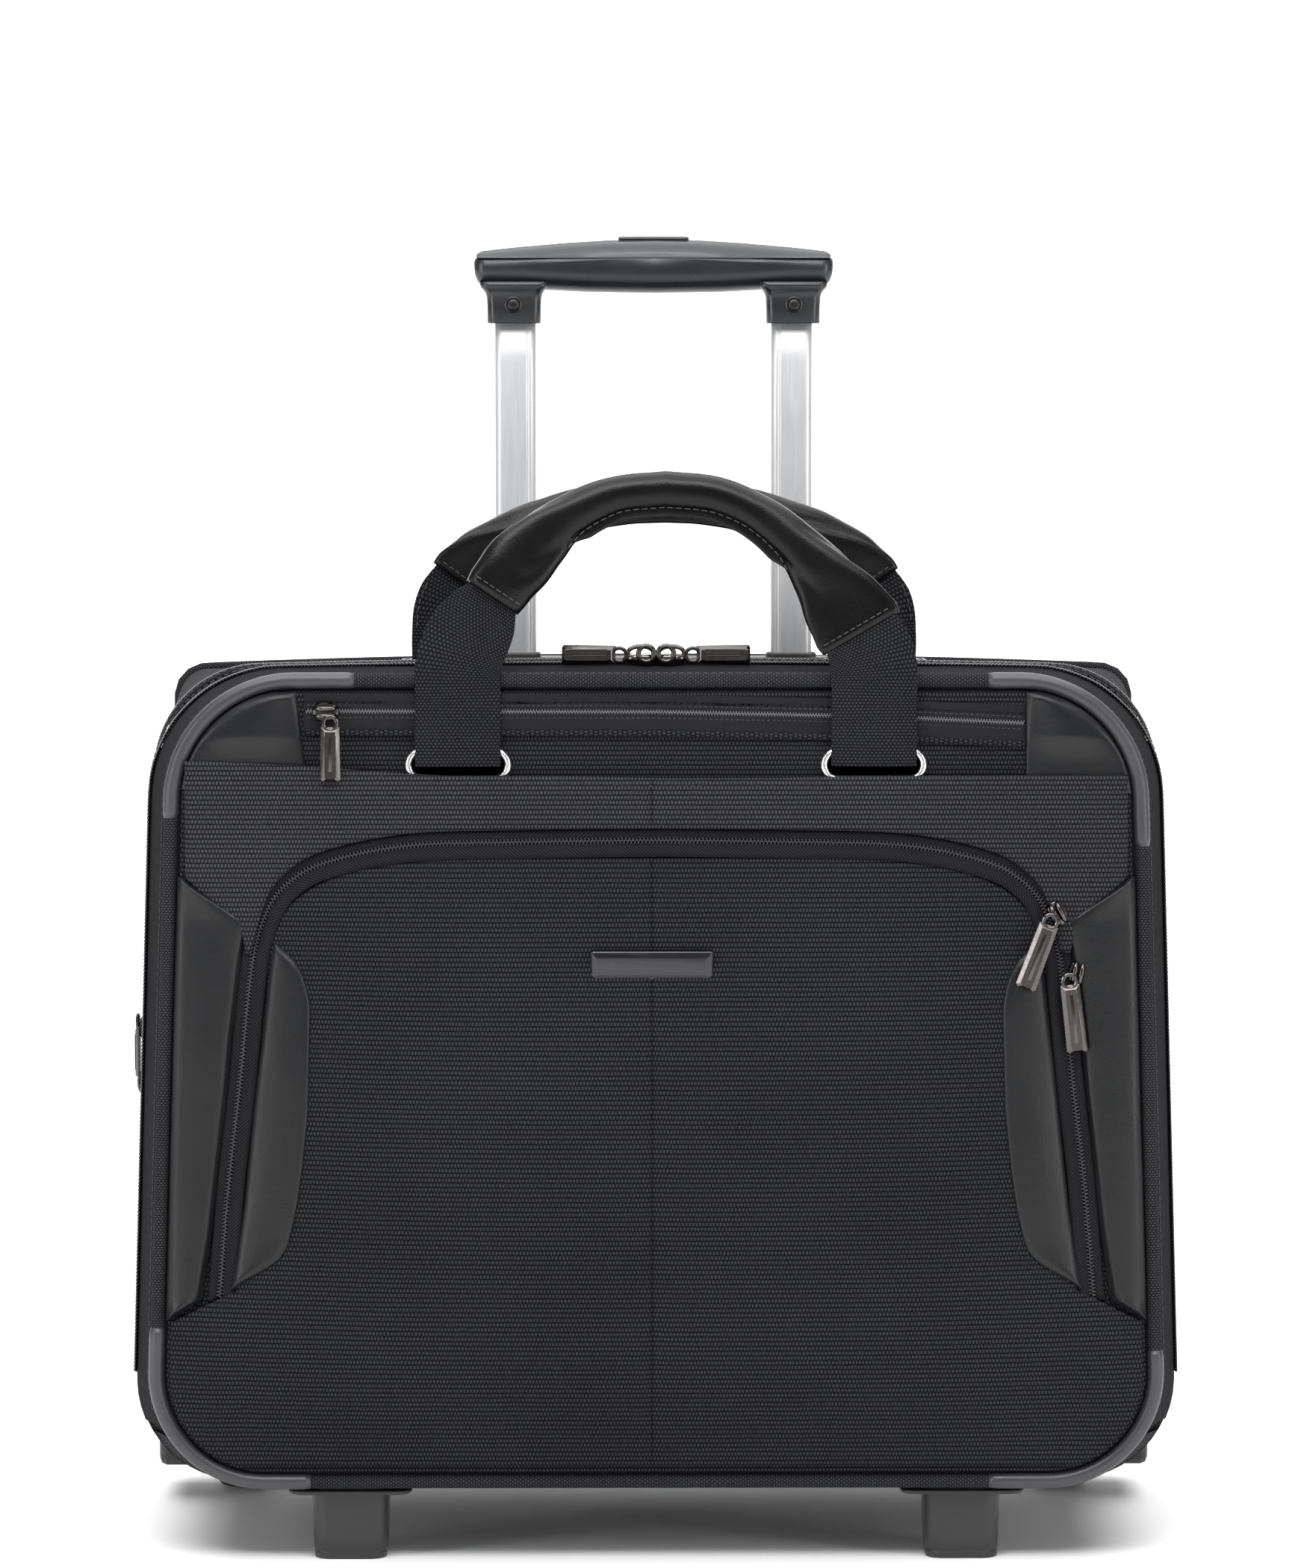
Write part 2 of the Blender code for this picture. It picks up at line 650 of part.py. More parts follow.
def badge(flap):
    """Blank bevelled metal plate on the flap."""
    half = flap_half_width(BADGE_Z)
    surface = front_y(0, BADGE_Z, half)
    near = 0.005
    above = front_y(0, BADGE_Z + near, half)
    below = front_y(0, BADGE_Z - near, half)
    tilt = math.atan2(above - below, 2 * near)
    plate = rounded_rectangle(*BADGE_SIZE, 0.001, steps=1)
    turn = Matrix.Rotation(-tilt, 4, "X")
    centre = Vector((BADGE_X, surface, BADGE_Z))
    loops = []
    for depth, scale in ((0.0008, 1.0), (0.0026, 1.0), (0.0034, 0.94)):
        shrink = (1 - scale) * BADGE_SIZE[1] / 2
        loops.append([
            centre + turn @ Vector((x - math.copysign(shrink, x), -depth,
                                    z - math.copysign(shrink, z)))
            for x, z in plate
        ])
    skin("badge_plate", loops, GUNMETAL, flap)


def lower_panel(lid):
    heights = [LOWER_PANEL_Z + (FLAP_LOW_Z - 0.0006 - LOWER_PANEL_Z) * i / 6 for i in range(7)]
    panel_solid("lower_panel", heights, wall_half_width,
                lambda x, z, half: LID_FRONT_Y - GAP, 12, FABRIC, lid)


def slip_pocket(lid):
    """Flat document pocket above the arched zip; its top edge is open."""
    above_tape = TAPE_HALF + 0.001
    arch = [(x * 1.021, z + above_tape) for x, z in smooth_line(ARCH_POINTS[3:], 2)]
    right = list(SLIP_EDGE) + arch
    points = right + [(-x, z) for x, z in reversed(right[:-1])]
    prism("slip_pocket", points, SLIP_Y[0], SLIP_Y[1], FABRIC, lid, along="Y")


def eyelet(side, sign, lid):
    """Pressed metal ring that the handle webbing comes out of."""
    width, height = EYELET_SIZE
    front, back = EYELET_Y
    outer = rounded_rectangle(width, height, height / 2 - 0.0001, steps=5)
    width -= 2 * EYELET_RIM
    height -= 2 * EYELET_RIM
    bore = rounded_rectangle(width, height, height / 2 - 0.0001, steps=5)
    centre = sign * EYELET_X + HANDLE_SHIFT
    loops = []
    for points, y in ((outer, back), (outer, front), (bore, front), (bore, back)):
        loops.append([(centre + x, y, EYELET_Z + z) for x, z in points])
    skin("eyelet_" + side, loops, CHROME, lid, cyclic=True)


def strip(name, line, parent):
    """A zip tape on the lid's front wall, centred on a line of (x, z)."""
    loops = []
    for i, (x, z) in enumerate(line):
        before = line[max(i - 1, 0)]
        after = line[min(i + 1, len(line) - 1)]
        along = Vector((after[0] - before[0], after[1] - before[1])).normalized()
        out = Vector((-along.y, along.x)) * TAPE_HALF
        back = LID_FRONT_Y - GAP
        front = back - TAPE_THICK
        loops.append([(x - out.x, back, z - out.y), (x + out.x, back, z + out.y),
                      (x + out.x, front, z + out.y), (x - out.x, front, z - out.y)])
    skin(name, loops, PIPING, parent)


def lid_zips(lid):
    half = smooth_line(ARCH_POINTS, 2)
    strip("arch_zip_tape", half + [(-x, z) for x, z in reversed(half[:-1])], lid)
    strip("top_pocket_zip_tape", POCKET_ZIP_LINE, lid)


# ---------------------------------------------------------------- handles


def handle_line(half_line, lean, base_y, base_z):
    """Centre line of a handle from its left end to its right end, leaning back as it rises."""
    half = smooth_line(half_line, 2)
    flat = [(-x, z) for x, z in half] + [(x, z) for x, z in reversed(half[:-1])]
    straight = 0.045
    line = []
    for x, z in flat:
        rise = max(z - base_z - straight, 0.0)
        line.append((x + HANDLE_SHIFT, base_y + lean * rise, z))
    return line


def strap_rings(line, sections):
    """Oval rings about a handle's line; each section is (half width, half thickness)."""
    rings = []
    for i, point in enumerate(line):
        before = Vector(line[max(i - 1, 0)])
        after = Vector(line[min(i + 1, len(line) - 1)])
        along = (after - before).normalized()
        out = along.cross(Vector((0, 1, 0))).normalized()
        side = out.cross(along).normalized()
        half, thick = sections[i]
        ring = []
        for k in range(10):
            t = 2 * math.pi * (k + 0.5) / 10
            c, s = math.cos(t), math.sin(t)
            flat = min(half / thick / 3, 1.0)
            c = math.copysign(abs(c) ** (1 - 0.4 * flat), c)
            s = math.copysign(abs(s) ** (1 - 0.6 * flat), s)
            ring.append(Vector(point) + half * c * out + thick * s * side)
        rings.append(ring)
    return rings


def handle(name, half_line, lean, base_y, base_z, parent):
    """Webbing strap with a padded leatherette grip sleeved over its middle."""
    line = handle_line(half_line, lean, base_y, base_z)
    count = len(line)
    first = 6
    last = count - 1 - first
    straps = []
    for i in range(count):
        if first - 1 <= i <= last + 1:
            fold = min(min(i - first + 1, last + 1 - i) / 2, 1.0)
        else:
            fold = 0.0
        straps.append((WEBBING_HALF + (FOLDED_HALF - WEBBING_HALF) * fold,
                       WEBBING_THICK / 2 + 0.0012 * fold))
    skin(name + "_webbing", strap_rings(line, straps), WEBBING, parent)
    grips = []
    bores = []
    for i in range(first, last + 1):
        near = min(i - first, last - i)
        round_off = min(near / 4, 1.0)
        grips.append(tuple(end + (GRIP_RADIUS - end) * round_off for end in GRIP_END))
        half, thick = straps[i]
        bores.append((half + 3 * GAP, thick + 3 * GAP))
    middle = line[first:last + 1]
    outer = strap_rings(middle, grips)
    bore = strap_rings(middle, bores)
    skin(name + "_grip", outer + bore[::-1], LEATHER, parent, cyclic=True)


# ---------------------------------------------------------------- trolley


def hollow_tube(name, size, levels, finish, centre_x, parent=None, bore=None):
    width, depth = size
    bore = bore or (width - 2 * TUBE_WALL, depth - 2 * TUBE_WALL)
    outside = rounded_rectangle(width, depth, 0.0035)
    inside = rounded_rectangle(bore[0], bore[1], 0.0028)
    low, high = levels
    loops = []
    for points, z in ((outside, low), (outside, high), (inside, high), (inside, low)):
        loops.append([(centre_x + x, TROLLEY_Y + y, z) for x, y in points])
    skin(name, loops, finish, parent, cyclic=True)


def sliding_bore(size):
    return (size[0] + 2 * TUBE_CLEAR, size[1] + 2 * TUBE_CLEAR)


def tube_cut(name, size, low, high, centre_x):
    width, depth = sliding_bore(size)
    points = rounded_rectangle(width, depth, 0.0038)
    return prism(name, [(centre_x + x, TROLLEY_Y + y) for x, y in points], low, high, PLASTIC)


def trolley_fixed():
    half = TROLLEY_X + 0.0163
    bezel = prism("trolley_bezel", [(x, y + 0.0775) for x, y in
                                    rounded_rectangle(2 * half, 0.0204, 0.004)],
                  BEZEL_Z[0], BEZEL_Z[1], PLASTIC)
    for side, sign in (("left", -1), ("right", 1)):
        x = sign * TROLLEY_X
        cutter(bezel, tube_cut("bezel_slot_" + side, MID_TUBE, 0.36, 0.39, x))
        hollow_tube("outer_tube_" + side, OUTER_TUBE, OUTER_TUBE_Z, ALUMINIUM, x,
                    bore=sliding_bore(MID_TUBE))
    floor = shape_at(0)[2] + WALL + GAP
    block("trolley_base_bracket", (-0.078, 0.0700, floor), (0.078, 0.0875, OUTER_TUBE_Z[0] - GAP),
          PLASTIC, round_edges=0.0015)


def trolley_stages(mid, top):
    for side, sign in (("left", -1), ("right", 1)):
        x = sign * TROLLEY_X
        hollow_tube("mid_tube_" + side, MID_TUBE, MID_TUBE_Z, ALUMINIUM, x, mid,
                    bore=sliding_bore(INNER_TUBE))
        hollow_tube("inner_tube_" + side, INNER_TUBE, INNER_TUBE_Z, ALUMINIUM, x, top)


def grip_half(name, outline_points, parent):
    low = TROLLEY_Y - GRIP_DEPTH / 2
    piece = prism(name, outline_points, low, low + GRIP_DEPTH, PLASTIC, parent, along="Y")
    bevel(piece, 0.003)
    return piece


def trolley_grip(top):
    """Two-part hollow grip clamped on the inner tubes."""
    right = [(0.0, 0.5410), (0.030, 0.5412), (0.0498, 0.5420), (0.0498, GRIP_SOCKET_Z),
             (0.0740, GRIP_SOCKET_Z), (0.0740, 0.5440), (0.0782, 0.5460),
             (GRIP_HALF, 0.5490), (GRIP_HALF, GRIP_PARTING_Z - GAP)]
    lower = grip_half("grip_lower", right + [(-x, z) for x, z in reversed(right[1:])], top)
    inner = GRIP_HOLLOW_HALF
    hollow = block("grip_hollow", (-0.0745, TROLLEY_Y - inner, 0.5445),
                   (0.0745, TROLLEY_Y + inner, 0.56), PLASTIC)
    cutter(lower, hollow)
    for side, sign in (("left", -1), ("right", 1)):
        x = sign * TROLLEY_X
        cutter(lower, tube_cut("socket_cut_" + side, INNER_TUBE, 0.51, 0.5405, x))
        hole = [(x + a, TROLLEY_Y + b) for a, b in arc((0, 0), 0.0032, 0, 330, 11)]
        cutter(lower, prism("rod_cut_" + side, hole, 0.535, 0.550, PLASTIC))
    right = [(GRIP_HALF, GRIP_PARTING_Z), (0.0790, 0.5582), (0.0750, 0.5596), (0.050, 0.5618),
             (0.025, 0.5635), (0.0, 0.5640)]
    upper = grip_half("grip_upper", right + [(-x, z) for x, z in reversed(right[:-1])], top)
    roof = block("grip_roof_cut", (-0.060, TROLLEY_Y - inner, 0.550),
                 (0.060, TROLLEY_Y + inner, 0.5590), PLASTIC)
    cutter(upper, roof)
    wide = BUTTON_HALF + 0.0004
    deep = BUTTON_DEPTH / 2 + 0.0004
    hole = block("button_cut", (-wide, TROLLEY_Y - deep, 0.550), (wide, TROLLEY_Y + deep, 0.57),
                 PLASTIC)
    cutter(upper, hole)


def release_gear(button):
    """Push button with its cross bar, and the rods that reach down the inner tubes."""
    bar_low, bar_top, bar_half = 0.5490, 0.5520, 0.0650
    right = [(bar_half, bar_low), (bar_half, bar_top), (BUTTON_HALF, bar_top),
             (BUTTON_HALF, BUTTON_TOP_Z - 0.0012), (BUTTON_HALF - 0.002, BUTTON_TOP_Z)]
    points = right + [(-x, z) for x, z in reversed(right)]
    prism("release_button", points, TROLLEY_Y - BUTTON_DEPTH / 2, TROLLEY_Y + BUTTON_DEPTH / 2,
          PLASTIC, button, along="Y")
    for side, sign in (("left", -1), ("right", 1)):
        rod = [(sign * TROLLEY_X + a, TROLLEY_Y + b) for a, b in arc((0, 0), ROD_R, 0, 315, 7)]
        prism("push_rod_" + side, rod, 0.200, bar_low - GAP, STEEL, button)


# ---------------------------------------------------------------- wheels


def turned(name, profile, steps, centre, finish, parent):
    """A body turned about an axis along X; the profile is closed, as (offset, radius)."""
    loops = []
    for i in range(steps):
        t = 2 * math.pi * i / steps
        loops.append([(centre[0] + a, centre[1] + r * math.cos(t), centre[2] + r * math.sin(t))
                      for a, r in profile])
    skin(name, loops, finish, parent, cyclic=True)


def wheel(side, sign, parent):
    centre = (sign * WHEEL_X, WHEEL_Y, WHEEL_R)
    half = WHEEL_WIDTH / 2
    seat = HUB_R + GAP
    tyre = [(-half + 0.001, seat), (half - 0.001, seat), (half, seat + 0.002),
            (half - 0.001, WHEEL_R - 0.0025), (half - 0.004, WHEEL_R - 0.0006), (0, WHEEL_R),
            (-half + 0.004, WHEEL_R - 0.0006), (-half + 0.001, WHEEL_R - 0.0025),
            (-half, seat + 0.002)]
    turned("tyre_" + side, tyre, 28, centre, RUBBER, parent)
    bore = AXLE_R + GAP
    hub = [(-half + 0.0015, bore), (half - 0.0015, bore), (half - 0.0015, 0.007),
           (half - 0.006, 0.0085), (half - 0.006, 0.0180), (half - 0.0025, 0.0195),
           (half - 0.0025, HUB_R), (-half + 0.0025, HUB_R), (-half + 0.0025, 0.0195),
           (-half + 0.006, 0.0180), (-half + 0.006, 0.0085), (-half + 0.0015, 0.007)]
    turned("hub_" + side, hub, 24, centre, PLASTIC, parent)


# ---------------------------------------------------------------- zip sliders


def slider(name, centre, size, parent):
    low = [c - s / 2 for c, s in zip(centre, size)]
    high = [c + s / 2 for c, s in zip(centre, size)]
    block(name, low, high, GUNMETAL, parent, round_edges=0.001)


def puller(name, pivot, along, face, parent, length=PULLER_LENGTH):
    """Faceted puller that starts at its pivot and points along; face is its thin direction."""
    along = Vector(along).normalized()
    face = Vector(face).normalized()
    across = along.cross(face).normalized()
    pivot = Vector(pivot)
    outline_points = [(0.0, 0.0026), (0.004, 0.0036), (length - 0.004, PULLER_WIDTH / 2),
                      (length, PULLER_WIDTH / 2 - 0.0012)]
    sides = outline_points + [(a, -b) for a, b in reversed(outline_points)]
    loops = []
    for depth, scale in ((0.0, 1.0), (PULLER_THICK * 0.6, 1.0), (PULLER_THICK, 0.72)):
        loops.append([
            pivot + along * (a * scale + length / 2 * (1 - scale)) + across * b * scale
            + face * depth
            for a, b in sides
        ])
    skin(name, loops, GUNMETAL, parent)


def sliders(lid, flap):
    middle_z = top_height(0, ZIP_Y) + GAP + TAPE_THICK + 0.0004 + TOP_SLIDER_SIZE[2] / 2
    for side, sign in (("left", -1), ("right", 1)):
        middle = (sign * (SLIDER_LENGTH / 2 + 0.0008), ZIP_Y, middle_z)
        carriage = axis_empty("top_slider_axis_" + side, middle)
        slider("top_slider_" + side, middle, TOP_SLIDER_SIZE, carriage)
        pivot = (sign * TOP_PULLER_X, TOP_PULLER_Y, middle_z)
        hinge = axis_empty("top_puller_axis_" + side, pivot, carriage)
        puller("top_puller_" + side, pivot, (sign, 0, 0), (0, -1, 0), hinge)
    carriage = axis_empty("pocket_slider_axis", POCKET_SLIDER, lid)
    slider("pocket_slider", POCKET_SLIDER, POCKET_SLIDER_SIZE, carriage)
    hinge = axis_empty("pocket_puller_axis", POCKET_PIVOT, carriage)
    puller("pocket_puller", POCKET_PIVOT, (0, 0, -1), (0, -1, 0), hinge)
    side_x = side_width(SIDE_SLIDER_Z, SIDE_ZIP_Y)
    centre = (-side_x - 0.0029, SIDE_ZIP_Y, SIDE_SLIDER_Z)
    carriage = axis_empty("side_slider_axis", centre)
    slider("side_slider", centre, SIDE_SLIDER_SIZE, carriage)
    pivot = (-side_x - 0.0061, SIDE_ZIP_Y, SIDE_SLIDER_Z + 0.002)
    hinge = axis_empty("side_puller_axis", pivot, carriage)
    puller("side_puller", pivot, (0, 0, -1), (-1, 0, 0), hinge)
    for name, pivot, along in ARCH_PULLERS:
        hinge = axis_empty("arch_puller_axis_" + name, pivot, flap)
        puller("arch_puller_" + name, pivot, along, (0, -1, 0), hinge, ARCH_PULLER_LENGTH)


def build():
    clear_scene()
    rear_shell()
    inner_boards()
    skid_plate()
    main_zip()
    back_piping()
    lid = axis_empty("lid_axis", (0, PIPING_Y, PIPING_SHAPE[2]))
    lid_shell(lid)
    corner_guards(lid)
    piping_ring(lid)
    lower_panel(lid)
    slip_pocket(lid)
    lid_zips(lid)
    flap = axis_empty("flap_axis", (0, FLAP_AXIS_Y, FLAP_LOW_Z), lid)
    pocket_flap(flap)
    front = axis_empty("front_handle_axis", (0, FRONT_HANDLE_Y, FRONT_HANDLE_Z), lid)
    handle("front_handle", FRONT_HANDLE_LINE, 0.19, FRONT_HANDLE_Y, FRONT_HANDLE_Z, front)
    rear = axis_empty("rear_handle_axis", (0, REAR_HANDLE_Y, REAR_HANDLE_Z))
    handle("rear_handle", REAR_HANDLE_LINE, 0.0, REAR_HANDLE_Y, REAR_HANDLE_Z, rear)
    trolley_fixed()
    mid = axis_empty("mid_stage_axis", (0, TROLLEY_Y, OUTER_TUBE_Z[1]))
    top = axis_empty("top_stage_axis", (0, TROLLEY_Y, MID_TUBE_Z[1]), mid)
    trolley_stages(mid, top)
    trolley_grip(top)
    button = axis_empty("button_axis", (0, TROLLEY_Y, BUTTON_TOP_Z), top)
    release_gear(button)
    for side, sign in (("left", -1), ("right", 1)):
        wheel_housing(side, sign)
        front_foot(side, sign)
        eyelet(side, sign, lid)
        spin = axis_empty("wheel_axis_" + side, (sign * WHEEL_X, WHEEL_Y, WHEEL_R))
        wheel(side, sign, spin)
    sliders(lid, flap)


build()
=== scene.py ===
"""Looks of a soft-sided rolling flight case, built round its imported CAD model."""

import json
import math

import bmesh
import bpy
import numpy as np
from mathutils import Matrix, Vector


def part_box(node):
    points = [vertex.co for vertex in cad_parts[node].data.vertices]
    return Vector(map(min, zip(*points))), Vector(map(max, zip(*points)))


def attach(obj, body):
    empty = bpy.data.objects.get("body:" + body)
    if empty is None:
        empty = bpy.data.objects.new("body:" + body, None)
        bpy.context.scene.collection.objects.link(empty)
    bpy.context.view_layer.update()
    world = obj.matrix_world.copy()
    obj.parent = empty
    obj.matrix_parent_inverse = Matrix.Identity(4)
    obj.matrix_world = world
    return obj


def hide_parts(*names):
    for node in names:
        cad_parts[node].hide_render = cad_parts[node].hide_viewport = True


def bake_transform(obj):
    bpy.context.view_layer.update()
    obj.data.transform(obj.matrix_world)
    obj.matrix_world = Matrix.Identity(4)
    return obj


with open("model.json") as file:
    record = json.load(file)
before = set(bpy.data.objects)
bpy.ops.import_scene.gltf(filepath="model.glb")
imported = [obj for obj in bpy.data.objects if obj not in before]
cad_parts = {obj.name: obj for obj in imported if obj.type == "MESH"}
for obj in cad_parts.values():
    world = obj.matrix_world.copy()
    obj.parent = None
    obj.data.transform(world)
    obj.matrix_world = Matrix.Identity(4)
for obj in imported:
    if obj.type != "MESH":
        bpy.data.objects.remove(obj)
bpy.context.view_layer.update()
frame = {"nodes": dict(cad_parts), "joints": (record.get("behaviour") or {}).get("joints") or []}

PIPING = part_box("front_piping")
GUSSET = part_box("front_lid_shell")
PIPING_R = 0.0030
PIPING_Y = (PIPING[0].y + PIPING[1].y) / 2
ZIP_Y = GUSSET[1].y
BACK_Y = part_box("rear_shell")[1].y - 0.004
# Shape of the case at three depths: half width at top and bottom, bottom and top height,
# upper and lower corner radius, rise of the top edge.
PIPING_SHAPE = (0.2045, 0.2122, 0.035, 0.376, 0.052, 0.046, 0.0)
ZIP_SHAPE = (0.2143, 0.2218, 0.031, 0.3795, 0.055, 0.044, 0.0015)
BACK_SHAPE = (0.2130, 0.2130, 0.031, 0.3715, 0.012, 0.022, 0.0040)
SIDES = (("left", -1), ("right", 1))

# ---------------------------------------------------------------- lines and surfaces


def arc(cx, cz, radius, start, stop, steps):
    turn = np.radians(np.linspace(start, stop, steps + 1))
    return np.column_stack([cx + radius * np.cos(turn), cz + radius * np.sin(turn)])


def smooth_line(points, per_span=8):
    """Catmull-Rom line through points of any dimension."""
    p = np.array(points, float)
    p = np.vstack([2 * p[0] - p[1], p, 2 * p[-1] - p[-2]])
    t = (np.arange(per_span) / per_span)[:, None]
    line = []
    for a, b, c, d in zip(p, p[1:], p[2:], p[3:]):
        line.append(0.5 * (2 * b + (c - a) * t + (2 * a - 5 * b + 4 * c - d) * t ** 2
                           + (3 * b - a - 3 * c + d) * t ** 3))
    return np.vstack(line + [p[-2:-1]])


def lengths(line):
    return np.concatenate([[0], np.cumsum(np.linalg.norm(np.diff(line, axis=0), axis=1))])


def resample_to(line, count):
    """The same line with a given number of evenly spaced points."""
    run = lengths(line)
    at = np.linspace(0, run[-1], count)
    return np.column_stack([np.interp(at, run, line[:, k]) for k in range(line.shape[1])])


def resample(line, step):
    """The same line with points about one step apart."""
    line = np.array(line, float)
    return resample_to(line, max(int(round(lengths(line)[-1] / step)), 2) + 1)


def densify(points, step):
    """A closed outline with points about one step apart."""
    return resample(np.vstack([points, points[:1]]), step)[:-1]


def mirror(half):
    """A line from its first point to x = 0, continued as its mirror image."""
    return np.vstack([half, half[:-1][::-1] * [-1, 1]])


def shape_at(y):
    if y <= ZIP_Y:
        first, second, start, stop = PIPING_SHAPE, ZIP_SHAPE, PIPING_Y, ZIP_Y
    else:
        first, second, start, stop = ZIP_SHAPE, BACK_SHAPE, ZIP_Y, BACK_Y
    t = min(max((y - start) / (stop - start), 0.0), 1.0)
    return tuple(a + (b - a) * t for a, b in zip(first, second))


def half_outline(shape, inset=0.0, counts=(26, 12, 40, 12, 26)):
    """Right half of a front view, from the bottom middle to the top middle, as (x, z)."""
    half_top, half_low, low, high, r_top, r_low, crown = shape
    bottom, top = low + inset, high - inset
    r_low, r_top = max(r_low - inset, 0.003), max(r_top - inset, 0.003)
    side_low, side_top = half_low - inset, half_top - inset
    a = np.column_stack([np.linspace(0, side_low - r_low, counts[0] + 1),
                         np.full(counts[0] + 1, bottom)])
    b = arc(side_low - r_low, bottom + r_low, r_low, -90, 0, counts[1])
    c = np.column_stack([np.linspace(side_low, side_top, counts[2] + 1),
                         np.linspace(bottom + r_low, top - r_top, counts[2] + 1)])
    d = arc(side_top - r_top, top - r_top, r_top, 0, 90, counts[3])
    run = side_top - r_top
    x = np.linspace(run, 0, counts[4] + 1)
    e = np.column_stack([x, top + crown * (1 - (x / run) ** 2)])
    return np.vstack([a, b[1:], c[1:], d[1:], e[1:]])


def outline(shape, inset=0.0):
    half = half_outline(shape, inset)
    return np.vstack([half, half[1:-1][::-1] * [-1, 1]])


def at_y(points, y):
    points = np.array(points, float)
    depth = np.full(len(points), y) if np.isscalar(y) else y
    return np.column_stack([points[:, 0], depth, points[:, 1]])


def over_top(y, offset, foot_z):
    """Open line over the case at a depth, from low on the right side to low on the left."""
    half = half_outline(shape_at(y), -offset)
    keep = half[half[:, 1] > foot_z]
    first = half[len(half) - len(keep) - 1]
    t = (foot_z - first[1]) / (keep[0][1] - first[1])
    foot = first + (keep[0] - first) * t
    # The two rings of a loft need the same number of points, whatever their foot's height.
    return mirror(resample_to(np.vstack([foot, keep]), 90))


def side_width(z, y):
    half_top, half_low, low, high, r_top, r_low, _ = shape_at(y)
    return half_low + (half_top - half_low) * (z - low - r_low) / (high - r_top - low - r_low)


def waves(x, z, seed, scale, octaves=3):
    """Smooth deterministic noise from sines, about -1 to 1."""
    rng = np.random.default_rng(seed)
    total = np.zeros(np.broadcast(x, z).shape)
    for k in range(octaves):
        for _ in range(4):
            turn, phase = rng.uniform(0, 2 * np.pi, 2)
            rate = 2 * np.pi / scale * 1.8 ** k * rng.uniform(0.8, 1.2)
            total += np.sin((x * np.cos(turn) + z * np.sin(turn)) * rate + phase) / 4 * 0.6 ** k
    return total


# ---------------------------------------------------------------- meshes


def finish_mesh(name, points, faces, weave=None, edge_highlight=None, look=None, smooth=True):
    """A mesh object with its cloth coordinates, in metres, kept as a corner attribute."""
    mesh = bpy.data.meshes.new(name)
    mesh.from_pydata(np.asarray(points, float).tolist(), [], [tuple(map(int, f)) for f in faces])
    mesh.update()
    if weave is not None:
        flat = np.zeros((len(mesh.loops), 3), np.float32)
        flat[:, :2] = np.concatenate([np.asarray(w, float).reshape(-1, 2) for w in weave])
        made = mesh.attributes.new("weave", "FLOAT_VECTOR", "CORNER")
        made.data.foreach_set("vector", flat.ravel())
    # Per-point share of painted edge highlight, which the leatherette lightens by.
    if edge_highlight is not None:
        made = mesh.attributes.new("edge_highlight", "FLOAT", "POINT")
        made.data.foreach_set("value", np.asarray(edge_highlight, np.float32))
    work = bmesh.new()
    work.from_mesh(mesh)
    bmesh.ops.recalc_face_normals(work, faces=work.faces)
    work.to_mesh(mesh)
    work.free()
    if smooth:
        mesh.polygons.foreach_set("use_smooth", [True] * len(mesh.polygons))
    piece = bpy.data.objects.new(name, mesh)
    bpy.context.scene.collection.objects.link(piece)
    if look:
        mesh.materials.append(look)
    return piece


def sharpen(piece, angle=35):
    piece.data.set_sharp_from_angle(angle=math.radians(angle))
    return piece


def settle(piece, body, node=()):
    """Put a piece on its body and the CAD nodes it stands for."""
    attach(piece, body)
    if node:
        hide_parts(*([node] if isinstance(node, str) else node))
    return piece


def facing(direction, count):
    """The same direction for every point of a line."""
    return np.tile(np.array(direction, float), (count, 1))


def level(flat, x, y, z):
    """A flat outline laid level at a height."""
    return np.column_stack([flat[:, 0] + x, flat[:, 1] + y, np.full(len(flat), z)])


def tube_faces(rings, sides):
    """Faces of a stack of rings, with both ends closed."""
    faces = []
    for i in range(rings - 1):
        for j in range(sides):
            h = (j + 1) % sides
            faces.append((i * sides + j, i * sides + h, (i + 1) * sides + h, (i + 1) * sides + j))
    faces.append(tuple(range(sides)))
    faces.append(tuple(range(rings * sides - 1, (rings - 1) * sides - 1, -1)))
    return faces


def skin(name, rings, look, closed=True, cyclic=False, caps=True, planar=None, edge_highlight=None,
         smooth=True):
    """A loft through rings of points. planar=(a, b) takes cloth coordinates from two axes."""
    rings = np.asarray(rings, float)
    n, m = rings.shape[:2]
    points = rings.reshape(-1, 3)
    around = np.linalg.norm(np.roll(rings, -1, axis=1) - rings, axis=2).mean(0)
    u = np.concatenate([[0], np.cumsum(around)])
    along = np.linalg.norm(np.roll(rings, -1, axis=0) - rings, axis=2).mean(1)
    v = np.concatenate([[0], np.cumsum(along)])
    faces, weave = [], []
    for i in range(n if cyclic else n - 1):
        k = (i + 1) % n
        for j in range(m if closed else m - 1):
            h = (j + 1) % m
            faces.append((i * m + j, i * m + h, k * m + h, k * m + j))
            if planar:
                weave.append(points[list(faces[-1])][:, list(planar)])
            else:
                weave.append([(u[j], v[i]), (u[j + 1], v[i]), (u[j + 1], v[i + 1]),
                              (u[j], v[i + 1])])
    if caps and closed and not cyclic:
        for row, order in ((0, 1), (n - 1, -1)):
            face = [row * m + j for j in range(m)][::order]
            faces.append(face)
            weave.append(points[face][:, [0, 2]])
    return finish_mesh(name, points, faces, weave, edge_highlight, look, smooth)


def frames(path, side=(0, 1, 0), cyclic=False):
    """Along, out and side directions at each point of a path; out is square to side."""
    path = np.asarray(path, float)
    if cyclic:
        along = np.roll(path, -1, axis=0) - np.roll(path, 1, axis=0)
    else:
        along = np.gradient(path, axis=0)
    along /= np.linalg.norm(along, axis=1)[:, None]
    side = np.broadcast_to(np.asarray(side, float), path.shape)
    out = np.cross(along, side)
    out /= np.linalg.norm(out, axis=1)[:, None]
    return along, out, np.cross(out, along)


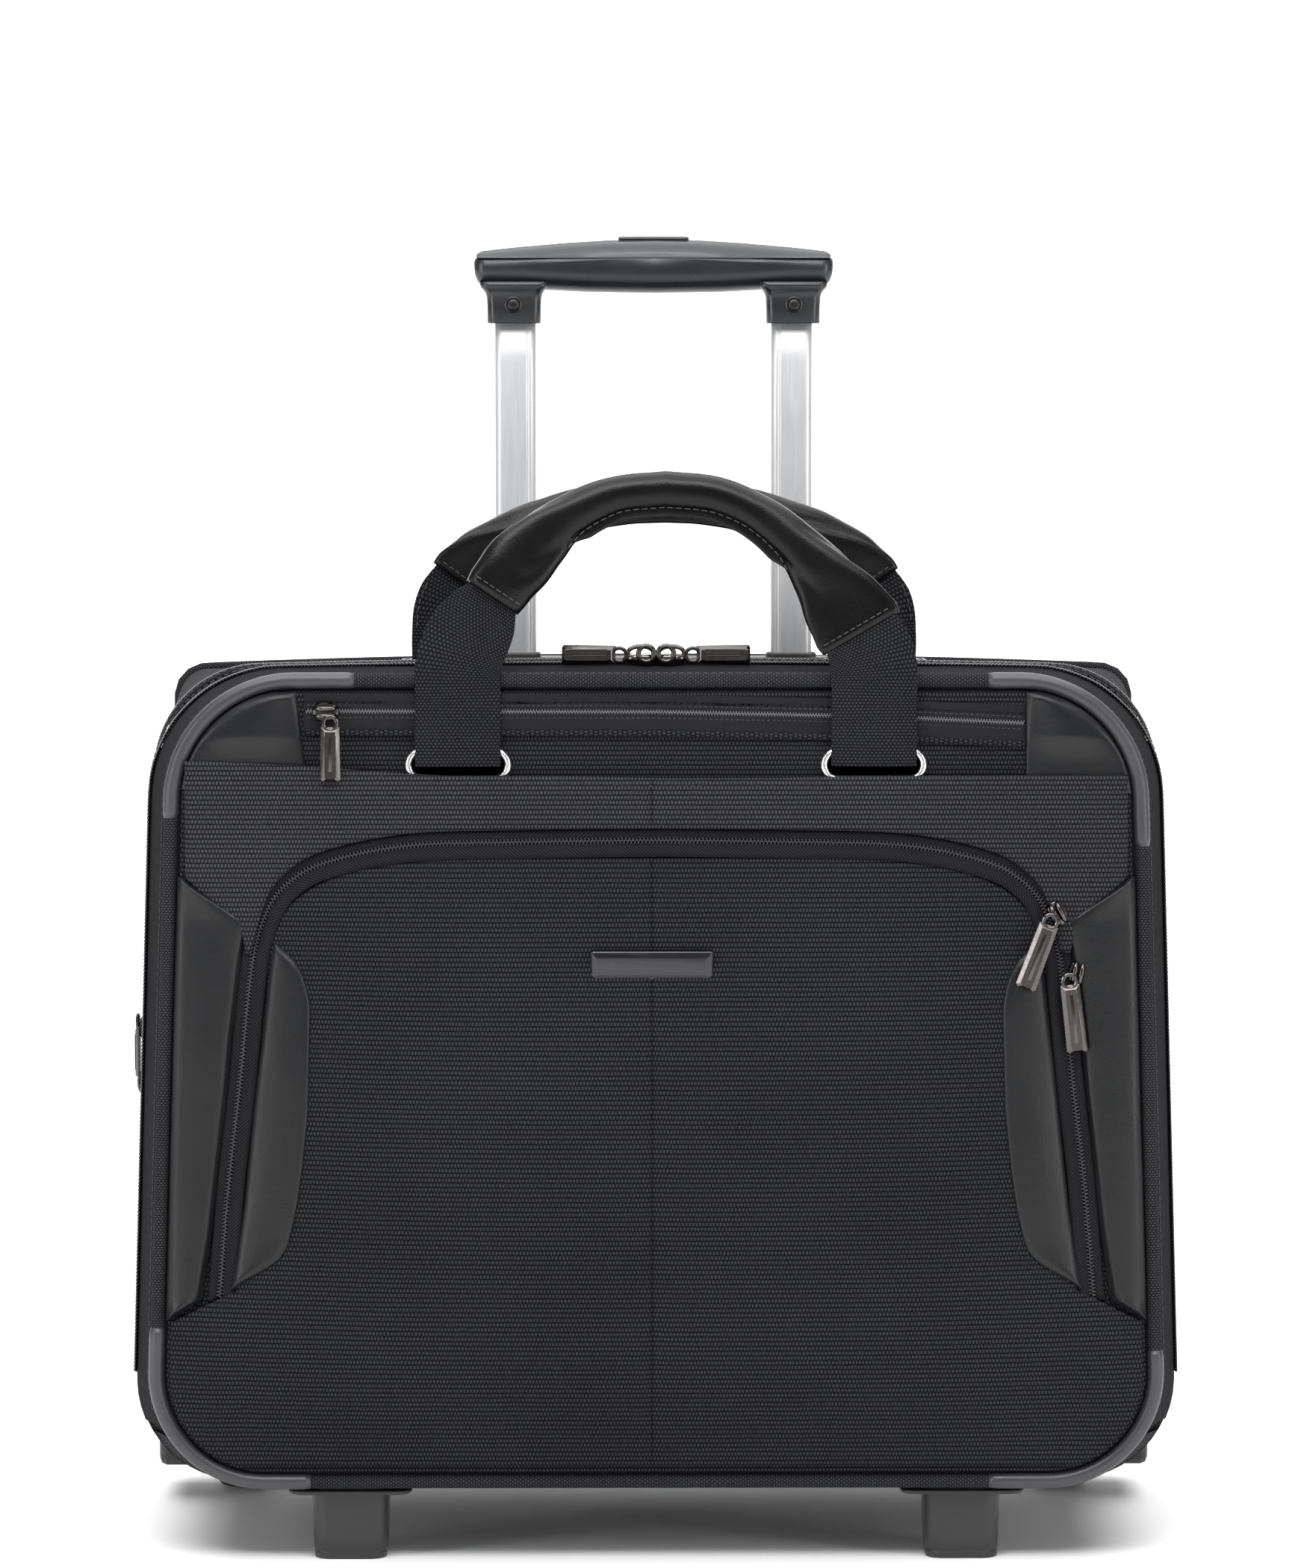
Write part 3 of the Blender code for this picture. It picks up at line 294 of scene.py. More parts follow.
def sweep(name, path, section, look, cyclic=False, closed=True, side=(0, 1, 0), caps=True,
          edge_highlight=None, smooth=True):
    """Carry a section of (out, side) points along a path; it may be one section per point."""
    path = np.asarray(path, float)
    section = np.asarray(section, float)
    if section.ndim == 2:
        section = np.broadcast_to(section, (len(path),) + section.shape)
    _, out, across = frames(path, side, cyclic)
    rings = (path[:, None] + section[:, :, :1] * out[:, None]
             + section[:, :, 1:] * across[:, None])
    return skin(name, rings, look, closed, cyclic, caps, edge_highlight=edge_highlight, smooth=smooth)


def circle(radius, sides=16):
    turn = np.arange(sides) * 2 * np.pi / sides
    return np.column_stack([radius * np.cos(turn), radius * np.sin(turn)])


def rounded(width, depth, radius, steps=4):
    """Rounded rectangle about the origin."""
    x, y = width / 2 - radius, depth / 2 - radius
    return np.vstack([arc(a * x, b * y, radius, s, s + 90, steps)
                      for a, b, s in ((1, 1, 0), (-1, 1, 90), (-1, -1, 180), (1, -1, 270))])


def edge_steps(width, fine, count):
    """Positions from 0 to 1 across a width, close together near both edges."""
    near = np.array(fine) / width
    middle = np.linspace(near[-1], 1 - near[-1], count)[1:-1]
    return np.concatenate([near, middle, 1 - near[::-1]])


def distance_to(points, line):
    """Distance of (x, z) points to a closed outline."""
    a, b = line, np.roll(line, -1, axis=0)
    step = b - a
    size = np.maximum((step ** 2).sum(1), 1e-12)
    best = np.full(len(points), 1e9)
    for k in range(len(a)):
        t = np.clip(((points - a[k]) @ step[k]) / size[k], 0, 1)
        gap = np.linalg.norm(points - (a[k] + t[:, None] * step[k]), axis=1)
        best = np.minimum(best, gap)
    return best


FINE = (0, 0.0003, 0.0008, 0.0015, 0.0025, 0.004)


def rim_distance(x, z):
    """How far each point of a grid lies from the grid's own edge."""
    rim = np.vstack([np.column_stack([x[0], z[0]]), np.column_stack([x[:, -1], z[:, -1]]),
                     np.column_stack([x[-1][::-1], z[-1][::-1]]),
                     np.column_stack([x[::-1, 0], z[::-1, 0]])])
    return distance_to(np.column_stack([x.ravel(), z.ravel()]), rim).reshape(x.shape)


def panel_faces(n, m):
    """Faces of a front grid, the same grid behind it and the strip that joins their edges."""
    faces = []
    base = n * m
    for i in range(n - 1):
        for j in range(m - 1):
            quad = (i * m + j, i * m + j + 1, (i + 1) * m + j + 1, (i + 1) * m + j)
            faces.append(quad)
            faces.append(tuple(k + base for k in quad[::-1]))
    edge = ([(0, j) for j in range(m)] + [(i, m - 1) for i in range(1, n)]
            + [(n - 1, j) for j in range(m - 2, -1, -1)] + [(i, 0) for i in range(n - 2, 0, -1)])
    ids = [i * m + j for i, j in edge]
    for p, q in zip(ids, ids[1:] + ids[:1]):
        faces.append((q, p, p + base, q + base))
    return faces


def pad(name, rows, left, right, surface, look, thick=0.002, roll=0.003, count=30, crown=None,
        extra=None, by_column=False, sink=0.0012):
    """A sewn panel on a surface, with rolled edges. It spans left to right at each row.

    surface(x, z) gives its depth, crown(t, row) adds height over the width, and extra(x, z)
    adds any other height. by_column swaps the two: rows are then x, and left and right z.
    """
    rows = np.asarray(rows, float)
    low = np.array([left(r) for r in rows])
    high = np.array([right(r) for r in rows])
    t = edge_steps(abs(np.median(high - low)), FINE, count)
    a = low[:, None] + (high - low)[:, None] * t
    b = np.broadcast_to(rows[:, None], a.shape)
    x, z = (b, a) if by_column else (a, b)
    share = np.clip(rim_distance(x, z) / roll, 0, 1)
    height = thick * np.sqrt(1 - (1 - share) ** 2)
    if crown:
        height = height + crown(t[None, :], b) * share
    if extra:
        height = height + extra(x, z) * share
    ground = surface(x, z)
    front = np.stack([x, ground - height, z], axis=2)
    back = np.stack([x, ground + sink, z], axis=2)
    points = np.vstack([front.reshape(-1, 3), back.reshape(-1, 3)])
    faces = panel_faces(*x.shape)
    weave = [points[list(f)][:, [0, 2]] for f in faces]
    # Painted edge highlight: full at the rolled rim, none inside it.
    edge_highlight = np.concatenate([(1 - share).ravel() ** 2, np.ones(x.size)])
    return finish_mesh(name, points, faces, weave, edge_highlight, look)


def join_parts(name, parts, look, smooth=True):
    """One mesh from lists of (points, faces)."""
    points, faces, base = [], [], 0
    for p, f in parts:
        points.append(p)
        faces += [[k + base for k in face] for face in f]
        base += len(p)
    return finish_mesh(name, np.vstack(points), faces, None, None, look, smooth)


def bead(centre, axis, up, length, half_a, half_b, sides=6):
    """A small round-ended bar: its points and faces."""
    side = np.cross(axis, up)
    rings = []
    for t, s in ((-0.5, 0.45), (-0.3, 1.0), (0.3, 1.0), (0.5, 0.45)):
        turn = np.arange(sides) * 2 * np.pi / sides
        rings.append(centre + axis * (t * length) + s * (
            half_a * np.cos(turn)[:, None] * up + half_b * np.sin(turn)[:, None] * side))
    return np.vstack(rings), tube_faces(4, sides)


def unit_steps(path):
    """Direction of a line at each of its points."""
    along = np.gradient(path, axis=0)
    return along / np.linalg.norm(along, axis=1)[:, None]


def walk(path, up, places):
    """Point, direction and outward direction at distances along a path."""
    run, along = lengths(path), unit_steps(path)
    for s in places:
        p, d, n = (np.array([np.interp(s, run, a[:, i]) for i in range(3)])
                   for a in (path, along, up))
        yield p, d / np.linalg.norm(d), n / np.linalg.norm(n)


def teeth(name, path, up, look, row, pitch=0.00155, width=0.0032, offset=0.0007, slant=0.35,
          tall=0.0007):
    """One row of coil teeth along a path. row is +1 or -1, and picks the side of the chain."""
    parts = []
    start = 0.25 if row > 0 else 0.75
    places = [(k + start) * pitch for k in range(int(lengths(path)[-1] / pitch))]
    for p, d, n in walk(path, up, places):
        across = np.cross(d, n)
        axis = across + slant * row * d
        axis /= np.linalg.norm(axis)
        parts.append(bead(p + across * row * offset, axis, n, width, tall, pitch * 0.27, 6))
    return join_parts(name, parts, look)


def stitches(name, path, up, look, pitch=0.0034, length=0.0025, radius=0.00028):
    """A row of sewn thread."""
    places = [(k + 0.5) * pitch for k in range(int(lengths(path)[-1] / pitch))]
    parts = [bead(p, d, n, length, radius, radius, 5) for p, d, n in walk(path, up, places)]
    return join_parts(name, parts, look)


# ---------------------------------------------------------------- materials


class Look:
    """A Principled material whose colour, roughness and bump come from small node sums."""

    def __init__(self, name, rough=0.6, metal=0.0, **sockets):
        self.material = bpy.data.materials.new(name)
        self.material.use_nodes = True
        self.tree = self.material.node_tree
        self.shader = self.tree.nodes["Principled BSDF"]
        self.shader.inputs["Roughness"].default_value = rough
        self.shader.inputs["Metallic"].default_value = metal
        for socket, value in sockets.items():
            self.shader.inputs[socket.replace("_", " ")].default_value = value

    def node(self, kind, **settings):
        made = self.tree.nodes.new("ShaderNode" + kind)
        for key, value in settings.items():
            setattr(made, key, value)
        return made

    def feed(self, socket, value):
        if isinstance(value, (int, float, tuple)):
            socket.default_value = value
        else:
            self.tree.links.new(value, socket)

    def math(self, operation, *values):
        made = self.node("Math", operation=operation)
        for socket, value in zip(made.inputs, values):
            self.feed(socket, value)
        return made.outputs[0]

    def mix(self, share, first, second):
        made = self.node("Mix", data_type="RGBA")
        self.feed(made.inputs[0], share)
        self.feed(made.inputs[6], first if not isinstance(first, tuple) else (*first, 1.0))
        self.feed(made.inputs[7], second if not isinstance(second, tuple) else (*second, 1.0))
        return made.outputs[2]

    def cloth(self):
        """The cloth coordinates of a sewn piece, in metres."""
        made = self.node("Attribute", attribute_name="weave")
        parts = self.node("SeparateXYZ")
        self.feed(parts.inputs[0], made.outputs["Vector"])
        return parts.outputs[0], parts.outputs[1]

    def edge_highlight(self):
        # The share of painted edge highlight kept on the mesh.
        return self.node("Attribute", attribute_name="edge_highlight").outputs["Fac"]

    def place(self):
        return self.node("TexCoord").outputs["Object"]

    def noise(self, scale, detail=3.0, rough=0.55, stretch=None):
        made = self.node("TexNoise")
        where = self.place()
        if stretch:
            move = self.node("Mapping")
            self.feed(move.inputs[0], where)
            move.inputs["Scale"].default_value = stretch
            where = move.outputs[0]
        self.feed(made.inputs["Vector"], where)
        made.inputs["Scale"].default_value = scale
        made.inputs["Detail"].default_value = detail
        made.inputs["Roughness"].default_value = rough
        return made.outputs["Fac"]

    def cells(self, scale):
        made = self.node("TexVoronoi")
        self.feed(made.inputs["Vector"], self.place())
        made.inputs["Scale"].default_value = scale
        return made.outputs["Distance"]

    def remap(self, value, low, high, to_low, to_high):
        made = self.node("MapRange")
        for socket, item in zip(made.inputs, (value, low, high, to_low, to_high)):
            self.feed(socket, item)
        return made.outputs[0]

    def hump(self, value):
        """0 at whole numbers, 1 half way between them."""
        turned = self.math("MULTIPLY", self.math("FRACT", value), math.pi)
        return self.math("SINE", turned)

    def bump(self, height, distance, strength=1.0, after=None):
        made = self.node("Bump")
        made.inputs["Distance"].default_value = distance
        made.inputs["Strength"].default_value = strength
        self.feed(made.inputs["Height"], height)
        if after is not None:
            self.feed(made.inputs["Normal"], after)
        return made.outputs[0]

    def done(self, colour, rough=None, normal=None):
        self.feed(self.shader.inputs["Base Color"], colour if not isinstance(colour, tuple)
                  else (*colour, 1.0))
        if rough is not None:
            self.feed(self.shader.inputs["Roughness"], rough)
        if normal is not None:
            self.feed(self.shader.inputs["Normal"], normal)
        return self.material


def brick_weave(name, dark, light, row, dash, share=0.5, depth=0.0003, rough=0.75, fade=1.0,
                thread=0.9, sheen=0.02):
    """Threads that float over rows, each row shifted against the last."""
    look = Look(name, rough, Sheen_Weight=sheen, Sheen_Roughness=0.45,
                Specular_IOR_Level=0.03)
    u, v = look.cloth()
    wander = look.math("MULTIPLY", look.math("SUBTRACT", look.noise(38.0, 2.0), 0.5), dash * 1.6)
    rows = look.math("DIVIDE", v, row)
    shift = look.math("MULTIPLY", look.math("FLOOR", rows), share)
    dashes = look.math("ADD", look.math("DIVIDE", look.math("ADD", u, wander), dash), shift)
    across = look.math("POWER", look.hump(rows), 0.75)
    along = look.math("POWER", look.hump(dashes), thread)
    height = look.math("MULTIPLY", across, along)
    patchy = look.remap(look.noise(9.0, 4.0), 0.3, 0.7, 0.86, 1.1)
    speck = look.remap(look.noise(1400.0, 1.0), 0.3, 0.7, 0.75, 1.2)
    shade = look.math("MULTIPLY", look.math("MULTIPLY", height, patchy), speck)
    colour = look.mix(look.math("MULTIPLY", shade, fade), dark, light)
    rough_out = look.remap(height, 0.0, 1.0, min(rough + 0.12, 0.95), rough - 0.12)
    normal = look.bump(height, depth, 0.9)
    return look.done(colour, rough_out, normal)


def herringbone(name, dark, light, width=0.0034, pitch=0.00085, rough=0.8):
    """Zip tape: ridges that run back and forth across its width."""
    look = Look(name, rough, Sheen_Weight=0.02, Specular_IOR_Level=0.03)
    u, v = look.cloth()
    fold = look.math("PINGPONG", u, width)
    ridge = look.hump(look.math("DIVIDE", look.math("ADD", v, fold), pitch))
    thread = look.hump(look.math("DIVIDE", u, 0.0005))
    height = look.math("MULTIPLY", ridge, look.remap(thread, 0.0, 1.0, 0.75, 1.0))
    patchy = look.remap(look.noise(22.0, 3.0), 0.3, 0.7, 0.8, 1.1)
    colour = look.mix(look.math("MULTIPLY", height, patchy), dark, light)
    return look.done(colour, None, look.bump(height, 0.00022, 0.9))


def twill(name, dark, light, pitch=0.0016, rough=0.8):
    look = Look(name, rough, Sheen_Weight=0.02, Specular_IOR_Level=0.03)
    u, v = look.cloth()
    ridge = look.hump(look.math("DIVIDE", look.math("ADD", v, u), pitch))
    patchy = look.remap(look.noise(30.0, 3.0), 0.3, 0.7, 0.8, 1.1)
    colour = look.mix(look.math("MULTIPLY", ridge, patchy), dark, light)
    return look.done(colour, None, look.bump(ridge, 0.00025, 0.9))


def leatherette(name, base, edge, rough=0.36, grain=1500.0, depth=0.00012, shine=0.30):
    """Pebbled coated cloth, with a painted highlight that lightens its rolled edges."""
    look = Look(name, rough, Specular_IOR_Level=shine, Coat_Weight=0.2 * shine,
                Coat_Roughness=0.3)
    pebble = look.cells(grain)
    fine = look.noise(2600.0, 2.0)
    broad = look.noise(26.0, 4.0)
    height = look.math("ADD", look.math("MULTIPLY", pebble, 0.7), look.math("MULTIPLY", fine, 0.3))
    # Painted edge highlight, broken up by broad noise.
    highlight_share = look.math("MULTIPLY", look.edge_highlight(), look.remap(broad, 0.35, 0.7, 0.25, 1.0))
    shade = look.remap(look.noise(7.0, 3.0), 0.3, 0.7, 0.0, 0.35)
    # edge is the painted highlight's colour; shade also mixes it in as random tone.
    colour = look.mix(highlight_share, look.mix(shade, base, edge), edge)
    rough_out = look.remap(broad, 0.3, 0.7, rough - 0.05, rough + 0.09)
    normal = look.bump(height, depth, 0.5, look.bump(look.noise(60.0, 3.0), 0.0006, 0.35))
    return look.done(colour, rough_out, normal)


def moulded(name, base, rough=0.5, grain=900.0, depth=0.00008, tint=0.25, coat=0.0):
    look = Look(name, rough, Specular_IOR_Level=0.5, Coat_Weight=coat, Coat_Roughness=0.25)
    pebble = look.noise(grain, 2.0)
    broad = look.noise(24.0, 4.0)
    light = tuple(min(c * 1.7 + 0.006, 1.0) for c in base)
    colour = look.mix(look.remap(broad, 0.3, 0.75, 0.0, tint), base, light)
    rough_out = look.remap(broad, 0.3, 0.7, rough - 0.06, rough + 0.08)
    return look.done(colour, rough_out, look.bump(pebble, depth, 0.6))


def drawn_metal(name, base, rough=0.3, stretch=(1.0, 1.0, 0.02), streak=2200.0, tint=0.12,
                metal=1.0):
    """Metal with fine streaks; stretch sets which way they run."""
    look = Look(name, rough, metal)
    lines = look.noise(streak, 2.0, stretch=stretch)
    broad = look.noise(30.0, 4.0)
    dark = tuple(c * (1 - tint) for c in base)
    colour = look.mix(look.remap(lines, 0.3, 0.7, 0.0, 1.0), dark, base)
    rough_out = look.math("ADD", look.remap(lines, 0.3, 0.7, rough - 0.05, rough + 0.06),
                          look.remap(broad, 0.3, 0.7, -0.04, 0.05))
    return look.done(colour, rough_out, look.bump(lines, 0.00003, 0.4))


FABRIC = brick_weave("ribbed nylon", (0.001, 0.001, 0.0012), (0.036, 0.037, 0.042), 0.00205,
                     0.00145, depth=0.00035)
# A lighter copy of the ribbed nylon: painted light on the slip pocket.
FABRIC_PAINTED_LIGHT = brick_weave("ribbed nylon painted lighter", (0.0015, 0.0015, 0.0018), (0.054, 0.055, 0.062),
                          0.00205, 0.00145, depth=0.00035)
FABRIC_SIDE = brick_weave("ribbed nylon sides", (0.0025, 0.0025, 0.003), (0.048, 0.049, 0.055),
                          0.00205, 0.00145, depth=0.0003)
PIPING_WEAVE = brick_weave("piping weave", (0.004, 0.004, 0.005), (0.045, 0.046, 0.051), 0.0011,
                           0.0016, depth=0.0003, rough=0.8)
WEBBING = brick_weave("handle webbing", (0.0015, 0.0015, 0.0018), (0.034, 0.035, 0.039), 0.0013,
                      0.0016, depth=0.0005, rough=0.7, thread=0.9)
TAPE = herringbone("zip tape", (0.005, 0.005, 0.006), (0.026, 0.026, 0.029))
WELT = twill("zip welt twill", (0.004, 0.004, 0.0046), (0.020, 0.020, 0.023))
LINING = brick_weave("lining weave", (0.060, 0.062, 0.068), (0.190, 0.195, 0.210), 0.0009,
                     0.0009, depth=0.0001, rough=0.8)
# The second colour of each leatherette is its painted edge highlight, also used as random tone.
LEATHER = leatherette("leatherette", (0.004, 0.0043, 0.0050), (0.018, 0.0187, 0.0205))
GRIP_LEATHER = leatherette("handle leatherette", (0.0015, 0.0016, 0.0018), (0.006, 0.0063, 0.0070),
                           rough=0.24, shine=0.22)
COIL = moulded("nylon coil", (0.018, 0.018, 0.020), 0.26, depth=0.00003)
FINE_COIL = moulded("fine nylon coil", (0.075, 0.075, 0.080), 0.3, depth=0.00003)
THREAD = moulded("sewing thread", (0.030, 0.030, 0.034), 0.6)
GUARD = moulded("corner tube", (0.034, 0.034, 0.037), 0.38, 1400.0, 0.00010)
HARD = moulded("black moulding", (0.020, 0.020, 0.021), 0.46, 1100.0, 0.00012)
GRIP = moulded("grip moulding", (0.008, 0.0095, 0.012), 0.30, 1500.0, 0.00004, coat=0.15)
SCREW = moulded("blackened screw", (0.006, 0.006, 0.006), 0.35)
RUBBER = moulded("wheel rubber", (0.016, 0.016, 0.017), 0.68, 700.0, 0.00015)
SILVER = drawn_metal("drawn aluminium", (0.62, 0.625, 0.635), 0.42, tint=0.04, metal=0.6)
STEEL = drawn_metal("steel", (0.50, 0.50, 0.51), 0.3, (1.0, 1.0, 1.0), 1200.0)
CHROME = drawn_metal("bright chrome", (0.90, 0.90, 0.91), 0.26, (1.0, 1.0, 1.0), 900.0, 0.06)
GUNMETAL = drawn_metal("dark plating", (0.112, 0.103, 0.099), 0.18, (1.0, 1.0, 1.0), 700.0, 0.15)
BADGE = drawn_metal("dark plate", (0.060, 0.060, 0.064), 0.28, (0.03, 1.0, 1.0), 1600.0, 0.2)

# ---------------------------------------------------------------- case body

WALL = 0.004
LIP_Z = 0.0555
LIP_Y = -0.0843


def case_body():
    """Fabric tub behind the main zip, its lining, front lip and binding."""
    depths = np.concatenate([[ZIP_Y + 0.0008], np.linspace(ZIP_Y + 0.006, BACK_Y - 0.004, 26),
                             [BACK_Y]])
    rings = []
    for y in depths:
        ring = at_y(outline(shape_at(y)), y)
        middle = ring[:, [0, 2]].mean(0)
        away = ring[:, [0, 2]] - middle
        away /= np.linalg.norm(away, axis=1)[:, None]
        fullness = math.sin(math.pi * (y - ZIP_Y) / (BACK_Y - ZIP_Y))
        swell = 0.0006 * fullness * (1 + waves(ring[:, 2], ring[:, 1], 3, 0.09))
        side = np.abs(away[:, 0]) ** 2
        ring[:, 0] += away[:, 0] * swell * side
        rings.append(ring)
    inner = [at_y(outline(shape_at(y), WALL), y) for y in (BACK_Y, ZIP_Y + 0.0008)]
    tub = skin("case_fabric", rings, FABRIC_SIDE, caps=False)
    settle(tub, "case", "rear_shell")
    lining = skin("case_lining", inner, LINING, caps=False)
    settle(lining, "case")
    edge = skin("case_mouth_binding", [rings[0], inner[-1]], PIPING_WEAVE, caps=False)
    settle(edge, "case")
    floor = half_outline(ZIP_SHAPE)
    low = floor[floor[:, 1] < LIP_Z]
    lip = mirror(low[::-1])
    front = half_outline(shape_at(LIP_Y))
    front = mirror(front[front[:, 1] < LIP_Z][::-1])
    lip_rings = [at_y(resample_to(front, 60), LIP_Y), at_y(resample_to(lip, 60), ZIP_Y + 0.001)]
    mid = (lip_rings[0] + lip_rings[1]) / 2
    under = [r + [0, 0, WALL * 0.8] for r in lip_rings]
    piece = skin("case_front_lip", [lip_rings[0], mid, lip_rings[1], under[1], under[0]],
                 FABRIC_SIDE, closed=False, cyclic=True)
    settle(piece, "case")


def rear_wall():
    """Outer and inner back wall, with seams beside the trolley tubes."""
    outer = outline(BACK_SHAPE)
    shares = (1.0, 0.985, 0.965, 0.94, 0.86, 0.74, 0.6, 0.45, 0.3, 0.15, 0.02)
    centre = np.array([0.0, 0.2])
    rings = []
    for share in shares:
        flat = centre + (outer - centre) * share
        rise = 0.0032 * (1 - share ** 8) ** 0.5
        bump = 0.0005 * waves(flat[:, 0], flat[:, 1], 11, 0.12) * (1 - share)
        rings.append(at_y(flat, BACK_Y + rise + bump))
    wall = skin("rear_wall_fabric", rings, FABRIC_SIDE, caps=True, planar=(0, 2))
    settle(wall, "case")
    inner = [centre + (outline(BACK_SHAPE, WALL) - centre) * s for s in (1.0, 0.02)]
    lining = skin("rear_wall_lining", [at_y(r, BACK_Y - 0.0005) for r in inner], LINING,
                  planar=(0, 2))
    settle(lining, "case")
    for name, x in (("left", -0.0865), ("right", 0.0865)):
        line = np.array([[x, BACK_Y + 0.0034, z] for z in np.linspace(0.088, 0.362, 60)])
        section = np.array([(-0.0045, 0), (-0.004, 0.0009), (0, 0.0013), (0.004, 0.0009),
                            (0.0045, 0), (0, -0.0006)])
        band = sweep("trolley_seam_" + name, line, section[:, ::-1], TAPE, side=(1, 0, 0))
        settle(band, "case")
        up = facing((0, 1, 0), len(line))
        for k, shift in enumerate((-0.0030, 0.0030)):
            row = line + [shift, 0.0011, 0]
            settle(stitches("trolley_seam_%s_stitch_%d" % (name, k), row, up, THREAD),
                   "case")
    radius = 0.0022
    line = over_top(BACK_Y, 0.0006, 0.078)
    cord = sweep("rear_binding", at_y(line, BACK_Y + 0.0006), circle(radius, 12),
                 PIPING_WEAVE)
    settle(cord, "case", "back_piping")


def back_pad():
    """Padded lumbar-like panel between the tubes' seams and the side binding."""
    for name, sign in SIDES:
        rows = edge_steps(0.24, FINE, 40) * 0.235 + 0.118
        panel = pad("back_pad_" + name, rows, lambda z: sign * 0.0925,
                    lambda z: sign * (0.196 - 0.008 * ((z - 0.23) / 0.13) ** 4),
                    lambda x, z: np.full(np.shape(x), -(BACK_Y + 0.0030)), FABRIC_SIDE,
                    thick=0.004, roll=0.012, count=26,
                    extra=lambda x, z: 0.0006 * waves(x, z, 21, 0.05))
        panel.data.transform(Matrix.Scale(-1, 4, (0, 1, 0)))
        panel.data.flip_normals()
        settle(panel, "case")


def zip_strip(name, y0, y1, offset, foot, look, body, node=()):
    """A flat tape laid over the case between two depths."""
    rings = []
    for y, o in ((y0, offset - 0.0006), (y0, offset), ((y0 + y1) / 2, offset + 0.0002),
                 (y1, offset), (y1, offset - 0.0006)):
        rings.append(at_y(over_top(y, o, foot), y))
    piece = skin(name, rings, look, closed=False)
    return settle(piece, body, node)


def over_up(y, line):
    """Outward directions of a line over the case."""
    along = np.gradient(line, axis=0)
    out = np.column_stack([along[:, 2], np.zeros(len(line)), -along[:, 0]])
    out /= np.linalg.norm(out, axis=1)[:, None]
    middle = line.mean(0) * [1, 0, 1] + [0, y, 0]
    flip = np.sign(((line - middle) * out).sum(1))
    return out * np.median(flip)


def main_zips():
    """The zip that opens the lid, the side zip behind it and their stitches."""
    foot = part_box("main_zip_tape")[0].z
    zip_strip("main_zip_rear_tape", ZIP_Y + 0.0008, ZIP_Y + 0.0108, 0.0012, foot, TAPE, "case",
              "main_zip_tape")
    line = resample(at_y(over_top(ZIP_Y, 0.0013, foot), ZIP_Y + 0.0002), 0.003)
    up = over_up(ZIP_Y, line)
    front = teeth("main_zip_coil_front", line, up, COIL, 1, offset=0.0008)
    rear = teeth("main_zip_coil_rear", line, up, COIL, -1, offset=0.0008)
    for piece in (front, rear):
        ahead = np.mean([v.co.y for v in piece.data.vertices]) < ZIP_Y + 0.0002
        settle(piece, "front_lid" if ahead else "case")
    side_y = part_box("side_slider")[0].y * 0.5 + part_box("side_slider")[1].y * 0.5
    zip_strip("side_zip_tape", side_y - 0.0080, side_y + 0.0080, 0.0016, 0.082, TAPE, "case")
    line = resample(at_y(over_top(side_y, 0.0020, 0.084), side_y), 0.003)
    up = over_up(side_y, line)
    for k, row in enumerate((1, -1)):
        settle(teeth("side_zip_coil_%d" % k, line, up, COIL, row, offset=0.0008), "case")
    for k, y in enumerate((ZIP_Y + 0.0095, side_y - 0.0068, side_y + 0.0068)):
        path = resample(at_y(over_top(y, 0.0021, 0.086), y), 0.004)
        settle(stitches("tape_stitch_%d" % k, path, over_up(y, path), THREAD), "case")


# ---------------------------------------------------------------- front lid

WALL_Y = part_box("front_lid_shell")[0].y
ARCH = ((0.185, 0.113), (0.181, 0.161), (0.176, 0.204), (0.1705, 0.256), (0.165, 0.277),
        (0.156, 0.290), (0.139, 0.2995), (0.104, 0.3065), (0.055, 0.308), (0.0, 0.3087))
LID_STEP = 0.0045
GUSSET_Y = -0.0868
GUSSET_FOOT = 0.0575
GUSSET_STITCH_Y = -0.0815


def wall_surface(x, z):
    """The lid's flat front wall, with the soft sag of cloth."""
    return WALL_Y - 0.0003 - 0.0004 * (1 + waves(x, z, 5, 0.11))


def lid_body():
    """Lid wall and gusset in two pieces: fabric front, tape gusset, and the lining behind."""
    front = outline(PIPING_SHAPE, LID_STEP)
    centre = np.array([0.0, 0.2])
    shares = (1.0, 0.99, 0.95, 0.88, 0.75, 0.6, 0.4, 0.2, 0.01)
    rings = [at_y(centre + (front - centre) * s,
                  wall_surface(*(centre + (front - centre) * s).T)) for s in shares]
    edge = [at_y(front, -0.0862)]
    wall = skin("lid_wall_fabric", edge + rings, FABRIC, planar=(0, 2))
    settle(wall, "front_lid", "front_lid_shell")
    rings = [at_y(centre + (front - centre) * s, -0.0860) for s in (1.0, 0.6, 0.01)]
    settle(skin("lid_lining", rings, LINING, planar=(0, 2)), "front_lid")
    outside, inside = [], []
    for y in np.linspace(GUSSET_Y, ZIP_Y - 0.0003, 8):
        outside.append(at_y(over_top(y, 0.0006, GUSSET_FOOT), y))
    for y in (ZIP_Y - 0.0003, GUSSET_Y):
        inside.append(at_y(over_top(y, -WALL * 0.75, GUSSET_FOOT), y))
    gusset = skin("lid_gusset_tape", outside + inside, TAPE, closed=False, cyclic=True)
    settle(gusset, "front_lid")
    path = at_y(over_top(GUSSET_STITCH_Y, 0.0010, 0.062), GUSSET_STITCH_Y)
    path = resample(path, 0.004)
    settle(stitches("gusset_stitch", path, over_up(GUSSET_STITCH_Y, path), THREAD), "front_lid")


